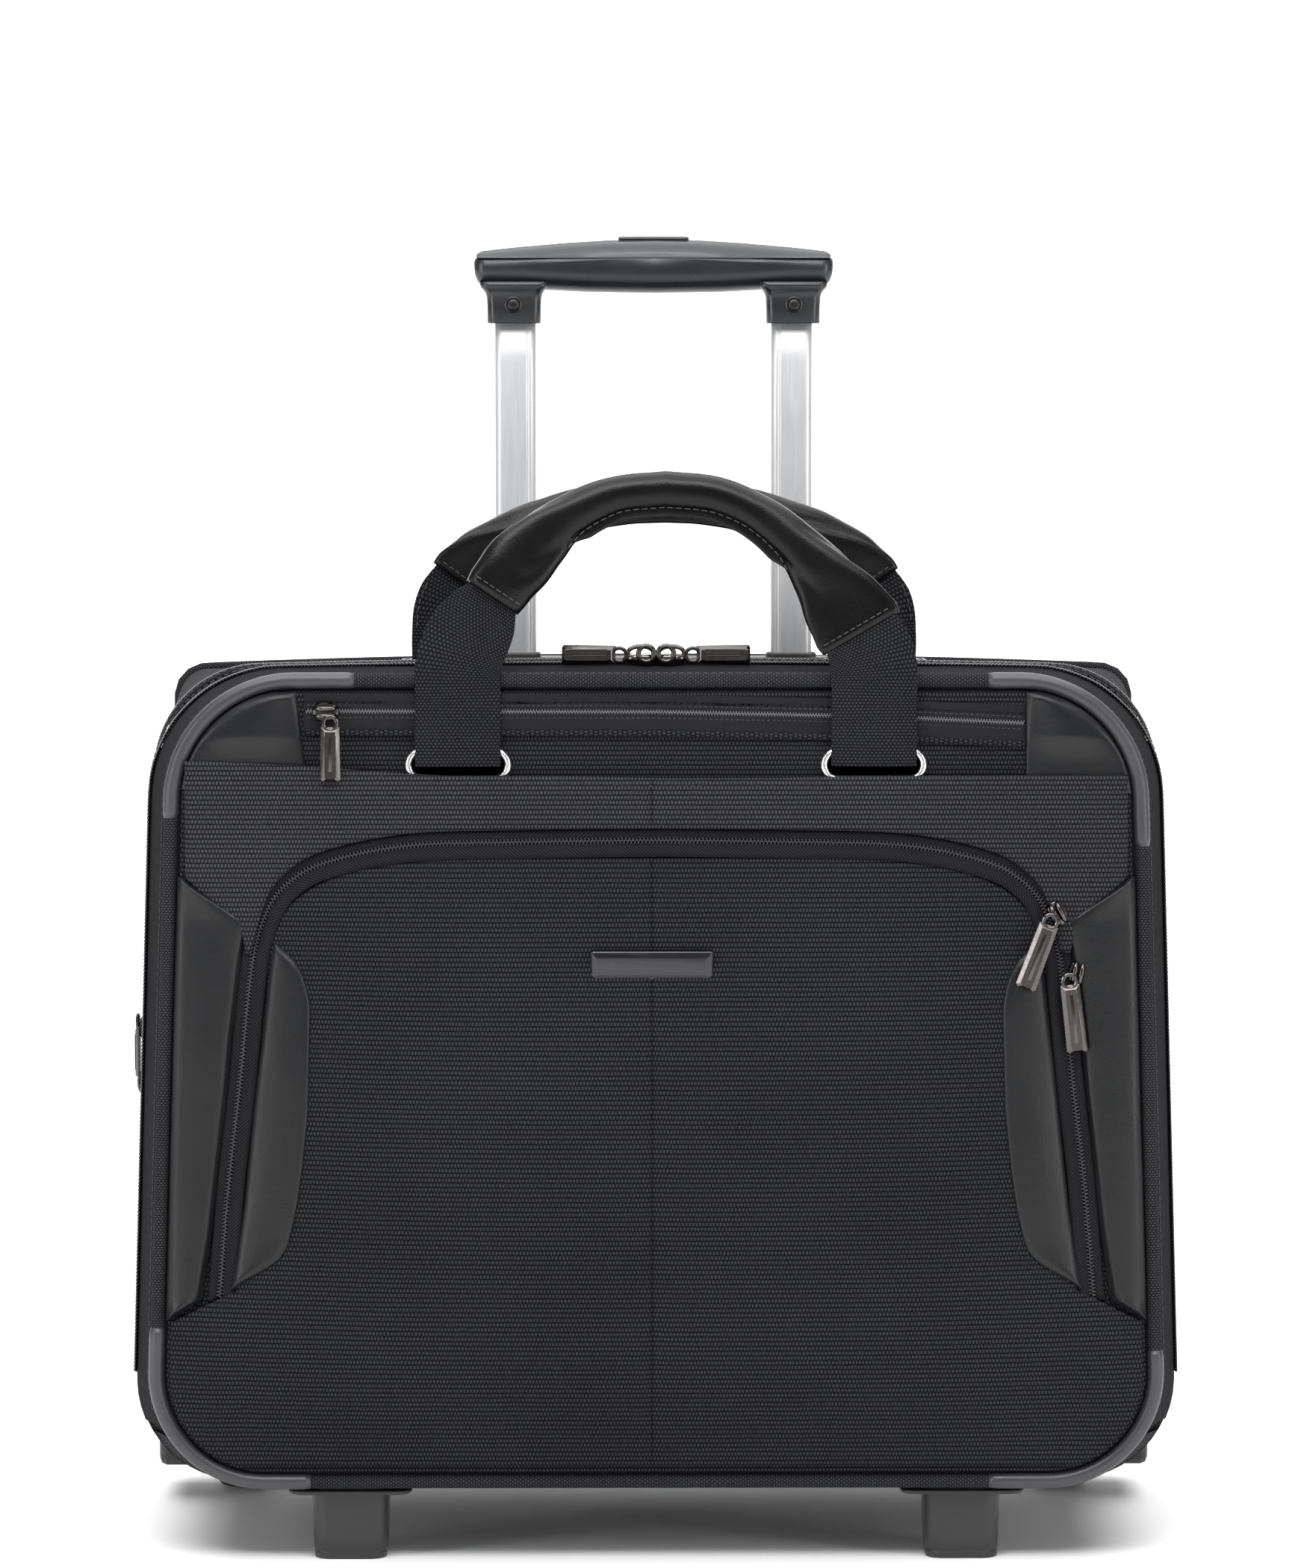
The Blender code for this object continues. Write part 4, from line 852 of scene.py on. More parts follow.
def piping():
    """Woven piping round the lid and the moulded tubes that sleeve its corners."""
    line = densify(outline(PIPING_SHAPE), 0.004)
    cord = sweep("piping_cord", at_y(line, PIPING_Y), circle(PIPING_R, 18), PIPING_WEAVE,
                 cyclic=True)
    settle(cord, "front_lid", "front_piping")
    flange = np.array([(0.0012, -0.0016), (-0.0062, -0.0016), (-0.0062, -0.0006),
                       (0.0012, -0.0006)]) * [-1, -1]
    piece = sweep("piping_flange", at_y(line, PIPING_Y), flange, WELT, cyclic=True)
    settle(piece, "front_lid")
    half = half_outline(PIPING_SHAPE, 0.0, (60, 24, 120, 24, 60))
    for height in ("upper", "lower"):
        for name, sign in SIDES:
            node = "corner_guard_%s_%s" % (height, name)
            low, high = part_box(node)
            beyond = half[:, 1] > low.z if height == "upper" else half[:, 1] < high.z
            keep = beyond & (half[:, 0] > min(abs(low.x), abs(high.x)))
            path = half[keep] * [sign, 1]
            path = resample(path, 0.003)
            run = lengths(path)
            from_end = np.minimum(run, run[-1] - run)
            radius = 0.0034 - 0.0004 * np.exp(-(from_end / 0.0006) ** 2)
            section = circle(1.0, 22)[None] * radius[:, None, None]
            tube = sweep(node.replace("guard", "tube"), at_y(path, PIPING_Y), section, GUARD)
            settle(tube, "front_lid", node)


def arch_zip():
    """Welts and coil of the arched zip, from its right foot to its left foot."""
    line = resample(mirror(smooth_line(ARCH, 10)), 0.0025)
    y = WALL_Y - 0.0016
    outer = np.array([(0.0002, 0.0), (0.0008, 0.0012), (0.0038, 0.0022), (0.0048, 0.0016),
                      (0.0050, -0.0012), (0.0002, -0.0012)])
    path = at_y(line, y)
    _, out, _ = frames(path)
    sign = np.sign((out * (path - [0, y, 0.1])).sum(1).mean())
    tape = sweep("arch_tape_outer", path, outer * [sign, -1], WELT)
    settle(tape, "front_lid", "arch_zip_tape")
    welt = np.array([(-0.0004, -0.0008), (-0.0009, 0.0010), (-0.0022, 0.0028), (-0.0042, 0.0040),
                     (-0.0058, 0.0040), (-0.0068, 0.0028), (-0.0070, -0.0008)])
    band = sweep("arch_welt_inner", path, welt * [sign, -1], WELT)
    settle(band, "front_pocket_flap")
    up = facing((0, -1, 0), len(path))
    chain = path + [0, -0.0012, 0]
    for k, row in enumerate((1, -1)):
        coil = teeth("arch_coil_%d" % k, chain, up, COIL, row, width=0.0024, offset=0.0005)
        middle = np.mean([v.co.z for v in coil.data.vertices if abs(v.co.x) < 0.02])
        outside = middle > line[:, 1].max() - 0.0001
        settle(coil, "front_lid" if outside else "front_pocket_flap")


def flap_half(z):
    if z <= 0.250:
        return 0.179 - 0.015 * (z - 0.110) / 0.140
    return 0.164 * max(1 - (min((z - 0.250) / 0.052, 1.0)) ** 2.75, 0.0) ** 0.2


def wall_half(z):
    half_low, low, radius = PIPING_SHAPE[1], PIPING_SHAPE[2], PIPING_SHAPE[5]
    edge = 0.0060
    drop = max(low + radius - z, 0.0)
    if drop:
        return half_low - radius + math.sqrt(max((radius - edge) ** 2 - drop ** 2, 0.0))
    return side_width(z, PIPING_Y) - edge


def bulge(z):
    z = np.asarray(z, float)
    top = 1 - np.clip((z - 0.170) / 0.132, 0, 1) ** 2.2
    middle = 1 - 0.15 * np.clip((0.170 - z) / 0.060, 0, 1) ** 2
    foot = 0.85 * np.sin(np.pi / 2 * np.clip((z - 0.042) / 0.068, 0, 1)) ** 0.8
    return np.where(z >= 0.170, top, np.where(z >= 0.110, middle, foot))


def surface_half(z):
    """Half width over which the front panel bulges, eased between lower panel and flap."""
    z = np.asarray(z, float)
    t = np.clip((z - 0.085) / 0.055, 0, 1)
    t = t * t * (3 - 2 * t)
    low = np.vectorize(wall_half)(np.minimum(z, 0.12))
    high = np.vectorize(flap_half)(np.clip(z, 0.110, 0.301))
    return low + (high - low) * t


def panel_surface(x, z):
    """The bulging front of flap and lower panel."""
    across = np.clip(np.abs(x) / surface_half(z), 0, 1)
    return -0.0933 - 0.0187 * bulge(z) * (1 - across ** 3)


SEAM_X = -0.0020


def seam_groove(x, z):
    return -0.0013 * np.exp(-((x - SEAM_X) / 0.0006) ** 2)


def panel_half(z):
    """Half width of the visible fabric: full below the slanted seams, the flap's above."""
    if z <= 0.104:
        return wall_half(z)
    if z <= 0.118:
        return wall_half(0.104) + (0.1775 - wall_half(0.104)) * (z - 0.104) / 0.014
    return flap_half(z)


def cloth_relief():
    """Small unevenness of the taut front cloth, from a pressure simulation on a grid."""
    nx, nz = 61, 43
    xs = np.linspace(-0.200, 0.200, nx)
    zs = np.linspace(0.046, 0.300, nz)
    gx, gz = np.meshgrid(xs, zs)
    y = panel_surface(gx, gz)
    points = np.stack([gx, y, gz], axis=2).reshape(-1, 3)
    faces = [(i * nx + j, i * nx + j + 1, (i + 1) * nx + j + 1, (i + 1) * nx + j)
             for i in range(nz - 1) for j in range(nx - 1)]
    trial = finish_mesh("cloth_trial", points, faces)
    group = trial.vertex_groups.new(name="sewn")
    seam = nx // 2
    sewn = [i * nx + j for i in range(nz) for j in range(nx)
            if i in (0, nz - 1) or j in (0, nx - 1, seam)
            or abs(xs[j]) > panel_half(zs[i]) - 0.002]
    group.add(sewn, 1.0, "REPLACE")
    cloth = trial.modifiers.new("Cloth", "CLOTH")
    cloth.settings.vertex_group_mass = "sewn"
    cloth.settings.quality = 6
    cloth.settings.tension_stiffness = 30
    cloth.settings.compression_stiffness = 30
    cloth.settings.shrink_min = -0.006
    cloth.settings.use_pressure = True
    cloth.settings.uniform_pressure_force = 4.0
    cloth.settings.effector_weights.gravity = 0.0
    scene = bpy.context.scene
    for step in range(1, 21):
        scene.frame_set(step)
    shaped = trial.evaluated_get(bpy.context.evaluated_depsgraph_get())
    moved = np.array([v.co for v in shaped.data.vertices]).reshape(nz, nx, 3)
    scene.frame_set(1)
    relief = np.clip(y - moved[:, :, 1], -0.0012, 0.0012)
    calm = np.clip((0.138 - np.abs(gx)) / 0.020, 0, 1) + np.clip((0.100 - gz) / 0.015, 0, 1)
    plate = np.array(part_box("badge_plate"))
    middle = plate.mean(0)
    near = np.maximum(np.abs(gx - middle[0]) / 0.036, np.abs(gz - middle[2]) / 0.016)
    relief *= np.clip(calm, 0, 1) * np.clip((near - 1.0) / 0.8, 0, 1)
    bpy.data.objects.remove(trial, do_unlink=True)
    return xs, zs, relief


def sample(xs, zs, field, x, z):
    """Bilinear reading of a grid."""
    i = np.clip((z - zs[0]) / (zs[1] - zs[0]), 0, len(zs) - 1.001)
    j = np.clip((x - xs[0]) / (xs[1] - xs[0]), 0, len(xs) - 1.001)
    a, b = i.astype(int), j.astype(int)
    s, t = i - a, j - b
    return ((field[a, b] * (1 - t) + field[a, b + 1] * t) * (1 - s)
            + (field[a + 1, b] * (1 - t) + field[a + 1, b + 1] * t) * s)


def front_panel():
    """Flap and lower panel are one cloth, which bends at the flap's foot."""
    xs, zs, relief = cloth_relief()
    rows = np.concatenate([[0.0425, 0.0430, 0.0440, 0.0455], np.arange(0.048, 0.102, 0.0035),
                           np.arange(0.1035, 0.120, 0.0011), np.arange(0.1225, 0.250, 0.0042),
                           np.arange(0.252, 0.290, 0.003), [0.2920, 0.2942, 0.2962, 0.2980,
                                                            0.2995, 0.3006, 0.3013, 0.3017]])
    fine = np.array([-0.006, -0.004, -0.0025, -0.0016, -0.001, -0.0005, 0, 0.0005, 0.001, 0.0016,
                     0.0025, 0.004, 0.006])

    def surface(x, z):
        lift = sample(xs, zs, relief, x, z)
        return panel_surface(x, z) - lift

    panel = pad_seamed("front_cloth", rows, panel_half, surface, FABRIC, 0.0011, 0.0022, fine)
    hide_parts("pocket_flap", "lower_panel")
    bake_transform(panel)


def pad_seamed(name, rows, half_of, surface, look, thick, roll, fine):
    """A front panel with a vertical seam near its middle and a wall behind it."""
    rows = np.asarray(rows, float)
    halves = np.array([half_of(z) for z in rows])
    inner = SEAM_X + fine
    outer_t = np.concatenate([np.linspace(0, 0.90, 34)[1:], [0.93, 0.955, 0.972, 0.983, 0.991,
                                                              0.996, 1.0]])
    x = []
    for half in halves:
        right = inner[-1] + (half - inner[-1]) * outer_t
        left = inner[0] + (-half - inner[0]) * outer_t[::-1]
        x.append(np.concatenate([left, inner, right]))
    x = np.array(x)
    z = np.broadcast_to(rows[:, None], x.shape)
    share = np.clip(rim_distance(x, z) / roll, 0, 1)
    height = thick * np.sqrt(1 - (1 - share) ** 2) + seam_groove(x, z) * share
    front = np.stack([x, surface(x, z) - height, z], axis=2)
    back = np.stack([x * 0.997, surface(x, z) + 0.0024, z], axis=2)
    points = np.vstack([front.reshape(-1, 3), back.reshape(-1, 3)])
    faces = panel_faces(*x.shape)
    weave = [points[list(f)][:, [0, 2]] for f in faces]
    return finish_mesh(name, points, faces, weave, None, look)


def slip_pocket():
    """Document pocket above the arch; its hemmed top edge hangs a little open."""
    def low(x):
        a = abs(x)
        if a > 0.1750:
            return 0.2705 + (a - 0.1750) * 0.0230 / 0.0240
        arch = mirror(smooth_line(ARCH[3:], 10))
        order = np.argsort(arch[:, 0])
        return float(np.interp(a, arch[order, 0], arch[order, 1])) + 0.0052

    def high(x):
        table = ((-0.2, 0.3425), (-0.15, 0.3405), (-0.11, 0.3372), (-0.0875, 0.3362),
                 (-0.05, 0.3362), (0.0, 0.3350), (0.05, 0.3350), (0.0875, 0.3360),
                 (0.14, 0.3360), (0.2, 0.3365))
        return float(np.interp(x, [p[0] for p in table], [p[1] for p in table]))

    def surface(x, z):
        rise = np.clip((z - 0.275) / 0.065, 0, 1)
        across = np.clip(np.abs(x) / 0.2, 0, 1)
        base = -0.0932 - 0.0008 * (1 - rise) - 0.0014 * (1 - across ** 6)
        slump = 0.0009 * waves(x, z * 2.2, 41, 0.16) * np.sin(np.pi * (0.25 + rise * 0.6))
        return base - np.abs(slump) * 0.9

    xs = np.concatenate([np.linspace(-0.1985, -0.0045, 92), SEAM_X + np.array(
        [-0.0016, -0.001, -0.0005, 0, 0.0005, 0.001, 0.0016]), np.linspace(0.0005, 0.1985, 92)])
    # The pocket cloth takes the lighter copy of the nylon, which paints light on it.
    sheet = pad("slip_pocket_cloth", xs, low, high, surface, FABRIC_PAINTED_LIGHT, thick=0.0014, roll=0.0022,
                count=26, extra=seam_groove, by_column=True)
    settle(sheet, "front_lid", "slip_pocket")
    top = np.array([[x, surface(np.array(x), np.array(high(x))) - 0.0012, high(x) - 0.0032]
                    for x in np.linspace(-0.196, 0.196, 120)], float)
    up = facing((0, -1, 0), len(top))
    settle(stitches("slip_pocket_stitch", top, up, THREAD, pitch=0.0030, length=0.0022,
                    radius=0.00022), "front_lid")


def guard_edge(z, inset=0.0036):
    """Half width just inside the piping at a height."""
    half = half_outline(PIPING_SHAPE, inset, (8, 40, 60, 40, 8))
    order = np.argsort(half[:, 1], kind="stable")
    return float(np.interp(z, half[order, 1], half[order, 0]))


def table(points):
    zs, xs = [p[0] for p in points], [p[1] for p in points]
    return lambda z: float(np.interp(z, zs, xs))


def outer_inlays():
    """Inlays on the lid, between the arched zip and the piping."""
    edge = table(((0.1045, 0.2070), (0.113, 0.1921), (0.117, 0.1918), (0.141, 0.1878),
                  (0.1704, 0.1845), (0.2026, 0.1806), (0.222, 0.1789), (0.261, 0.1742),
                  (0.275, 0.1700), (0.2933, 0.1994)))
    rows = np.concatenate([0.1046 + np.array(FINE), np.linspace(0.109, 0.113, 4)[:-1],
                           np.linspace(0.113, 0.275, 54), np.linspace(0.275, 0.289, 10)[1:],
                           0.2931 - np.array(FINE)[::-1]])
    crown = lambda t, z: 0.0036 * np.sin(np.pi * np.clip(t, 0, 1) ** 0.62) ** 0.8
    for name, sign in SIDES:
        panel = pad("outer_inlay_" + name, rows, lambda z: sign * edge(z),
                    lambda z: sign * guard_edge(z), lambda x, z: wall_surface(x, z) - 0.0006,
                    LEATHER, thick=0.0018, roll=0.0024, count=26, crown=crown)
        settle(panel, "front_lid")


def flap_inlays():
    """Inlays on the flap, just inside the arched zip."""
    inner = table(((0.1180, 0.1800), (0.1194, 0.1780), (0.1235, 0.1716), (0.1270, 0.1652),
                   (0.1316, 0.1587), (0.1370, 0.1556), (0.1429, 0.1539), (0.1542, 0.1514),
                   (0.1704, 0.1490), (0.1945, 0.1466), (0.2380, 0.1455), (0.2446, 0.1464),
                   (0.2526, 0.1488), (0.2583, 0.1521), (0.2625, 0.1568), (0.2660, 0.1606)))
    outer = table(((0.1180, 0.1806), (0.1300, 0.1782), (0.1540, 0.1745), (0.1980, 0.1698),
                   (0.2270, 0.1662), (0.2610, 0.1622), (0.2660, 0.1612)))
    rows = np.concatenate([0.1182 + np.array(FINE), np.linspace(0.1235, 0.2610, 46),
                           0.2655 - np.array(FINE)[::-1]])
    for name, sign in SIDES:
        panel = pad("flap_inlay_" + name, rows, lambda z: sign * inner(z),
                    lambda z: sign * outer(z), lambda x, z: panel_surface(x, z) - 0.0006,
                    LEATHER, thick=0.0020, roll=0.0022, count=22,
                    crown=lambda t, z: 0.0008 * np.sin(np.pi * t))
        settle(panel, "front_pocket_flap", "inner_inlay_" + name)


def corner_patches():
    """Patches in the lid's upper corners."""
    for name, sign, x_top, x_low, foot in (("left", -1, 0.1515, 0.1468, 0.330),
                                           ("right", 1, 0.1555, 0.1555, 0.328)):
        rows = np.concatenate([foot + np.array(FINE), np.linspace(foot + 0.006, 0.3665, 26),
                               0.3712 - np.array(FINE)[::-1]])
        near = lambda z: sign * (x_low + (x_top - x_low) * (z - foot) / (0.372 - foot))
        patch = pad("corner_patch_" + name, rows, near, lambda z: sign * guard_edge(z, 0.0040),
                    lambda x, z: wall_surface(x, z) - 0.0004, LEATHER, thick=0.0014,
                    roll=0.0022, count=24, crown=lambda t, z: 0.0026 * np.sin(np.pi * t)
                    * np.clip((z - 0.340) / 0.012, 0, 1) ** 2)
        settle(patch, "front_lid")


def top_band():
    """Cloth strip and the horizontal pocket zip above the slip pocket."""
    def chain_z(x):
        return np.interp(x, [-0.15, 0.0, 0.09, 0.157], [0.3632, 0.3628, 0.3610, 0.3580])

    for name, low, high in (("lower", -0.0085, -0.0003), ("upper", 0.0003, 0.0072)):
        xs = np.linspace(-0.1485, 0.1555, 110)
        tape = pad("top_zip_tape_" + name, xs, lambda x: chain_z(x) + low,
                   lambda x: chain_z(x) + high, lambda x, z: wall_surface(x, z) - 0.0007, TAPE,
                   thick=0.0008, roll=0.0012, count=8, by_column=True)
        settle(tape, "front_lid",
               ("top_pocket_zip_tape",) if name == "lower" else ())
    xs = np.linspace(-0.1475, 0.1550, 120)
    path = np.column_stack([xs, wall_surface(xs, chain_z(xs)) - 0.0014, chain_z(xs)])
    up = facing((0, -1, 0), len(xs))
    for k, row in enumerate((1, -1)):
        settle(teeth("top_zip_coil_%d" % k, path, up, FINE_COIL, row, pitch=0.0012, width=0.0016,
                     offset=0.0003, tall=0.0004), "front_lid")
    for k, shift in enumerate((-0.0026, 0.0026)):
        row = path + [0, 0, shift]
        settle(stitches("top_zip_stitch_%d" % k, row, up, THREAD, 0.0022, 0.0013, 0.0002),
               "front_lid")
    fold = path + [0, 0.0002, -0.0092]
    section = np.array([(-0.0012, -0.0006), (-0.0008, 0.0008), (0.0006, 0.0010),
                        (0.0014, 0.0004), (0.0014, -0.0006)])
    settle(sweep("top_zip_fold", fold, section * [1, -1], FABRIC), "front_lid")


# ---------------------------------------------------------------- metal parts


def stadium_ring(name, centre, width, height, thick, look, body, node=(), sides=14):
    """A round-wired ring bent to a stadium, facing the front."""
    line = rounded(width, height, height / 2 - 0.0001, 10)
    path = at_y(line, 0.0) + np.array(centre)
    ring = sweep(name, path, circle(thick, sides), look, cyclic=True)
    return settle(ring, body, node)


def eyelets():
    """Chrome rings that the front handle passes through, with the dark slot inside."""
    for name in ("left", "right"):
        low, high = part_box("eyelet_" + name)
        centre = (low + high) / 2
        wire = 0.0016
        stadium_ring("eyelet_ring_" + name, (centre.x, low.y - 0.0005, centre.z + 0.0014),
                     high.x - low.x - 2 * wire, high.z - low.z - 2 * wire, wire, CHROME,
                     "front_lid", "eyelet_" + name)
        hole = rounded(high.x - low.x - 0.004, high.z - low.z - 0.004, 0.0052, 8)
        rings = [at_y(hole * s, 0.0) + [centre.x, high.y - 0.0012, centre.z + 0.0014]
                 for s in (1, 0.02)]
        settle(skin("eyelet_shadow_" + name, rings, WELT, planar=(0, 2)), "front_lid")


LINK_SIDES = 10
LINK_WIRE = 0.00085
BRIDGE_SIDES = 8


def local_frame(along, face):
    along = Vector(along).normalized()
    face = Vector(face).normalized()
    across = along.cross(face).normalized()
    return np.array(along), np.array(across), np.array(face)


def facet_puller(name, pivot, along, face, body, length=0.024, width=0.0085):
    """Zip puller: a bevelled bar with a long slot of facets, and the link that carries it."""
    a, c, f = local_frame(along, face)
    pivot = np.array(pivot, float)
    w = width / 2
    parts = []

    def solid(outline_points, levels):
        rings = []
        for depth, inset in levels:
            flat = np.array(outline_points, float)
            middle = flat.mean(0)
            size = np.abs(flat - middle).max(0)
            flat = middle + (flat - middle) * (1 - inset / size)
            rings.append(pivot + flat[:, :1] * a + flat[:, 1:] * c + depth * f)
        parts.append((np.vstack(rings), tube_faces(len(rings), len(rings[0]))))

    start = 0.0012
    solid([(start, -w * 0.92), (length - 0.0010, -w), (length, -w + 0.001),
           (length, w - 0.001), (length - 0.0010, w), (start, w * 0.92)],
          ((0.0, 0.0003), (0.0003, 0.0), (0.0009, 0.0), (0.0021, 0.0017), (0.0022, 0.0019)))
    solid([(start + 0.0042, -0.0008), (length - 0.0042, -0.0008), (length - 0.0042, 0.0008),
           (start + 0.0042, 0.0008)], ((0.0018, 0.0), (0.0025, 0.0), (0.0026, 0.0003)))
    for edge in (-1, 1):
        solid([(start + 0.0036, edge * 0.0020), (length - 0.0036, edge * 0.0020),
               (length - 0.0036, edge * 0.0024), (start + 0.0036, edge * 0.0024)],
              ((0.0016, 0.0), (0.0024, 0.0)))
    loop = rounded(0.0058, 0.0056, 0.0027, 8) + [-0.0004, 0.0]
    along_loop = np.roll(loop, -1, axis=0) - np.roll(loop, 1, axis=0)
    along_loop /= np.linalg.norm(along_loop, axis=1)[:, None]
    normal = np.column_stack([along_loop[:, 1], -along_loop[:, 0]])
    rings = []
    turn = np.arange(LINK_SIDES) * 2 * np.pi / LINK_SIDES
    for p, n in zip(loop, normal):
        flat = p + LINK_WIRE * np.cos(turn)[:, None] * n
        rings.append(pivot + flat[:, :1] * a + flat[:, 1:] * c
                     + (0.0011 + LINK_WIRE * np.sin(turn))[:, None] * f)
    faces = []
    for i in range(len(rings)):
        here, there = i * LINK_SIDES, (i + 1) % len(rings) * LINK_SIDES
        for j in range(LINK_SIDES):
            h = (j + 1) % LINK_SIDES
            faces.append((here + j, here + h, there + h, there + j))
    parts.append((np.vstack(rings), faces))
    piece = join_parts(name.replace("puller", "pull_tab"), parts, GUNMETAL)
    sharpen(piece, 20)
    settle(piece, body, name)


def middle_of(node):
    """Centre of a CAD node's box."""
    low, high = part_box(node)
    return np.array((low + high) / 2)


def zip_slider(name, centre, along, face, body, size, node=()):
    """Zip slider: a plate pinched at its tail, and the arched bridge that the link hangs on."""
    a, c, f = local_frame(along, face)
    length, width, tall = size
    parts = []
    ring = []
    for t in np.linspace(0, 2 * np.pi, 29)[:-1]:
        x, z = math.cos(t), math.sin(t)
        lobe = 1.0 if x > 0 else 0.84 - 0.16 * x
        ring.append((x * length / 2, z * width / 2 * lobe * abs(math.cos(x * 0.5)) ** 0.3))
    ring = np.array(ring)
    levels = ((-0.5, 0.9), (-0.38, 1.0), (-0.15, 1.0), (0.02, 0.86))
    rings = [centre + ring[:, :1] * s * a + ring[:, 1:] * s * c + t * tall * f
             for t, s in levels]
    parts.append((np.vstack(rings), tube_faces(len(rings), len(ring))))
    bend = np.linspace(0, np.pi, 15)
    path = np.column_stack([np.cos(bend) * length * 0.36, np.sin(bend) ** 0.7 * tall * 0.62])
    turn = np.arange(BRIDGE_SIDES) * 2 * np.pi / BRIDGE_SIDES
    for shift in (-width * 0.17, width * 0.17):
        rings = []
        for k, p in enumerate(path):
            before, after = path[max(k - 1, 0)], path[min(k + 1, len(path) - 1)]
            d = (after - before) / np.linalg.norm(after - before)
            n = np.array([d[1], -d[0]])
            flat = p + 0.0009 * np.cos(turn)[:, None] * n
            rings.append(centre + flat[:, :1] * a + flat[:, 1:] * f
                         + (shift + 0.0010 * np.sin(turn))[:, None] * c)
        parts.append((np.vstack(rings), tube_faces(len(rings), BRIDGE_SIDES)))
    piece = join_parts(name, parts, GUNMETAL)
    sharpen(piece, 50)
    return settle(piece, body, node)


def joint_of(child):
    return next(j for j in frame["joints"] if j["child"] == child)


def sliders():
    """Every zip slider with its puller."""
    for name, sign in SIDES:
        node = "top_slider_" + name
        centre = middle_of(node)
        zip_slider("top_slider_body_" + name, centre, (sign, 0, 0), (0, 0, 1),
                   "top_slide_" + name, (0.0150, 0.0105, 0.0056), node)
        facet_puller("top_puller_" + name, joint_of("top_pull_" + name)["pos_m"],
                     (sign, 0, 0), (0, -1, 0), "top_pull_" + name)
        stadium_ring("lock_ring_" + name, (sign * 0.0042, centre[1] - 0.0052, centre[2] + 0.0006),
                     0.0066, 0.0066, 0.0011, GUNMETAL, "top_slide_" + name)
    zip_slider("pocket_slider_body", middle_of("pocket_slider"), (-1, 0, 0), (0, -1, 0),
               "pocket_slide", (0.0115, 0.0092, 0.0050), "pocket_slider")
    facet_puller("pocket_puller", joint_of("pocket_pull")["pos_m"], (0, 0, -1), (0, -1, 0),
                 "pocket_pull")
    side_size = (0.0125, 0.0100, 0.0050)
    centre = middle_of("side_slider")
    zip_slider("side_slider_body", centre, (0, 0, 1), (-1, 0, 0), "side_slide", side_size,
               "side_slider")
    facet_puller("side_puller", joint_of("side_pull")["pos_m"], (0, 0, -1), (-1, 0, 0),
                 "side_pull")
    zip_slider("side_slider_lower", centre - [0.0008, 0, 0.024], (0, 0, -1), (-1, 0, 0), "case",
               side_size)
    for name, along in (("upper", (-0.35, 0, -0.94)), ("lower", (0.12, 0, -0.99))):
        pivot = np.array(joint_of("arch_pull_" + name)["pos_m"])
        facet_puller("arch_puller_" + name, pivot, along, (0, -1, 0), "arch_pull_" + name,
                     length=0.030, width=0.0088)
        zip_slider("arch_slider_" + name, pivot + [0.0035, 0.0026, 0.0035],
                   (-0.45 if name == "upper" else 0.2, 0, 0.9), (0, -1, 0),
                   "front_pocket_flap", (0.0115, 0.0085, 0.0045))


def badge():
    """Blank bevelled plate on the flap, tilted with the cloth behind it."""
    low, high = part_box("badge_plate")
    centre = np.array((low + high) / 2)
    width, height = high.x - low.x, high.z - low.z
    tilt = math.atan2(panel_surface(0, centre[2] - 0.005) - panel_surface(0, centre[2] + 0.005),
                      0.010)
    up = np.array([0.0, math.sin(tilt), math.cos(tilt)])
    out = np.array([0.0, -math.cos(tilt), math.sin(tilt)])
    base = np.array([centre[0], float(panel_surface(0.0, centre[2])), centre[2]])
    rings = []
    for depth, inset in ((-0.0010, 0.0), (0.0022, 0.0), (0.0026, 0.00035), (0.0034, 0.0022),
                         (0.0036, 0.0026)):
        flat = rounded(width - 2 * inset, height - 2 * inset, 0.0008, 3)
        rings.append(base + flat[:, :1] * [1, 0, 0] + flat[:, 1:] * up + depth * out)
    plate = skin("badge_blank", rings, BADGE)
    sharpen(plate, 22)
    settle(plate, "front_pocket_flap", "badge_plate")


# ---------------------------------------------------------------- handles

WEB_HALF = 0.018
WEB_THICK = 0.00125
# Half width and half thickness of the sleeve at distances from its nearer end.
SLEEVE_RUN = (0, 0.004, 0.014, 0.030, 0.048, 0.07)
SLEEVE_WIDE = (0.0186, 0.0190, 0.0176, 0.0132, 0.0094, 0.0080)
SLEEVE_THICK = (0.0030, 0.0034, 0.0050, 0.0070, 0.0077, 0.0079)
SLEEVE_SIDES = 48
HANDLE_SHIFT = 0.004
REAR_HANDLE_Y = -0.003
FRONT_LINE = ((0.0875, 0.340), (0.0875, 0.365), (0.0868, 0.385), (0.0785, 0.402),
              (0.0640, 0.4230), (0.0450, 0.4420), (0.0230, 0.4532), (0.0, 0.4560))
REAR_LINE = ((0.0917, 0.380), (0.0917, 0.392), (0.0900, 0.404), (0.0800, 0.4185),
             (0.0620, 0.4345), (0.0400, 0.4455), (0.0180, 0.4500), (0.0, 0.4510))


def handle_path(points, lean, y, base_z):
    half = smooth_line(points, 10)
    line = resample(mirror(half * [-1, 1]), 0.0022)
    rise = np.maximum(line[:, 1] - base_z - 0.045, 0.0)
    return np.column_stack([line[:, 0] + HANDLE_SHIFT, y + lean * rise, line[:, 1]])


def oval(half, thick, count=36, square=0.55):
    turn = (np.arange(count) + 0.5) * 2 * np.pi / count
    c, s = np.cos(turn), np.sin(turn)
    flat = np.clip(half / thick / 3, 0, 1)
    c = np.sign(c) * np.abs(c) ** (1 - 0.4 * flat)
    s = np.sign(s) * np.abs(s) ** (1 - square * flat)
    return np.column_stack([half * c, thick * s])


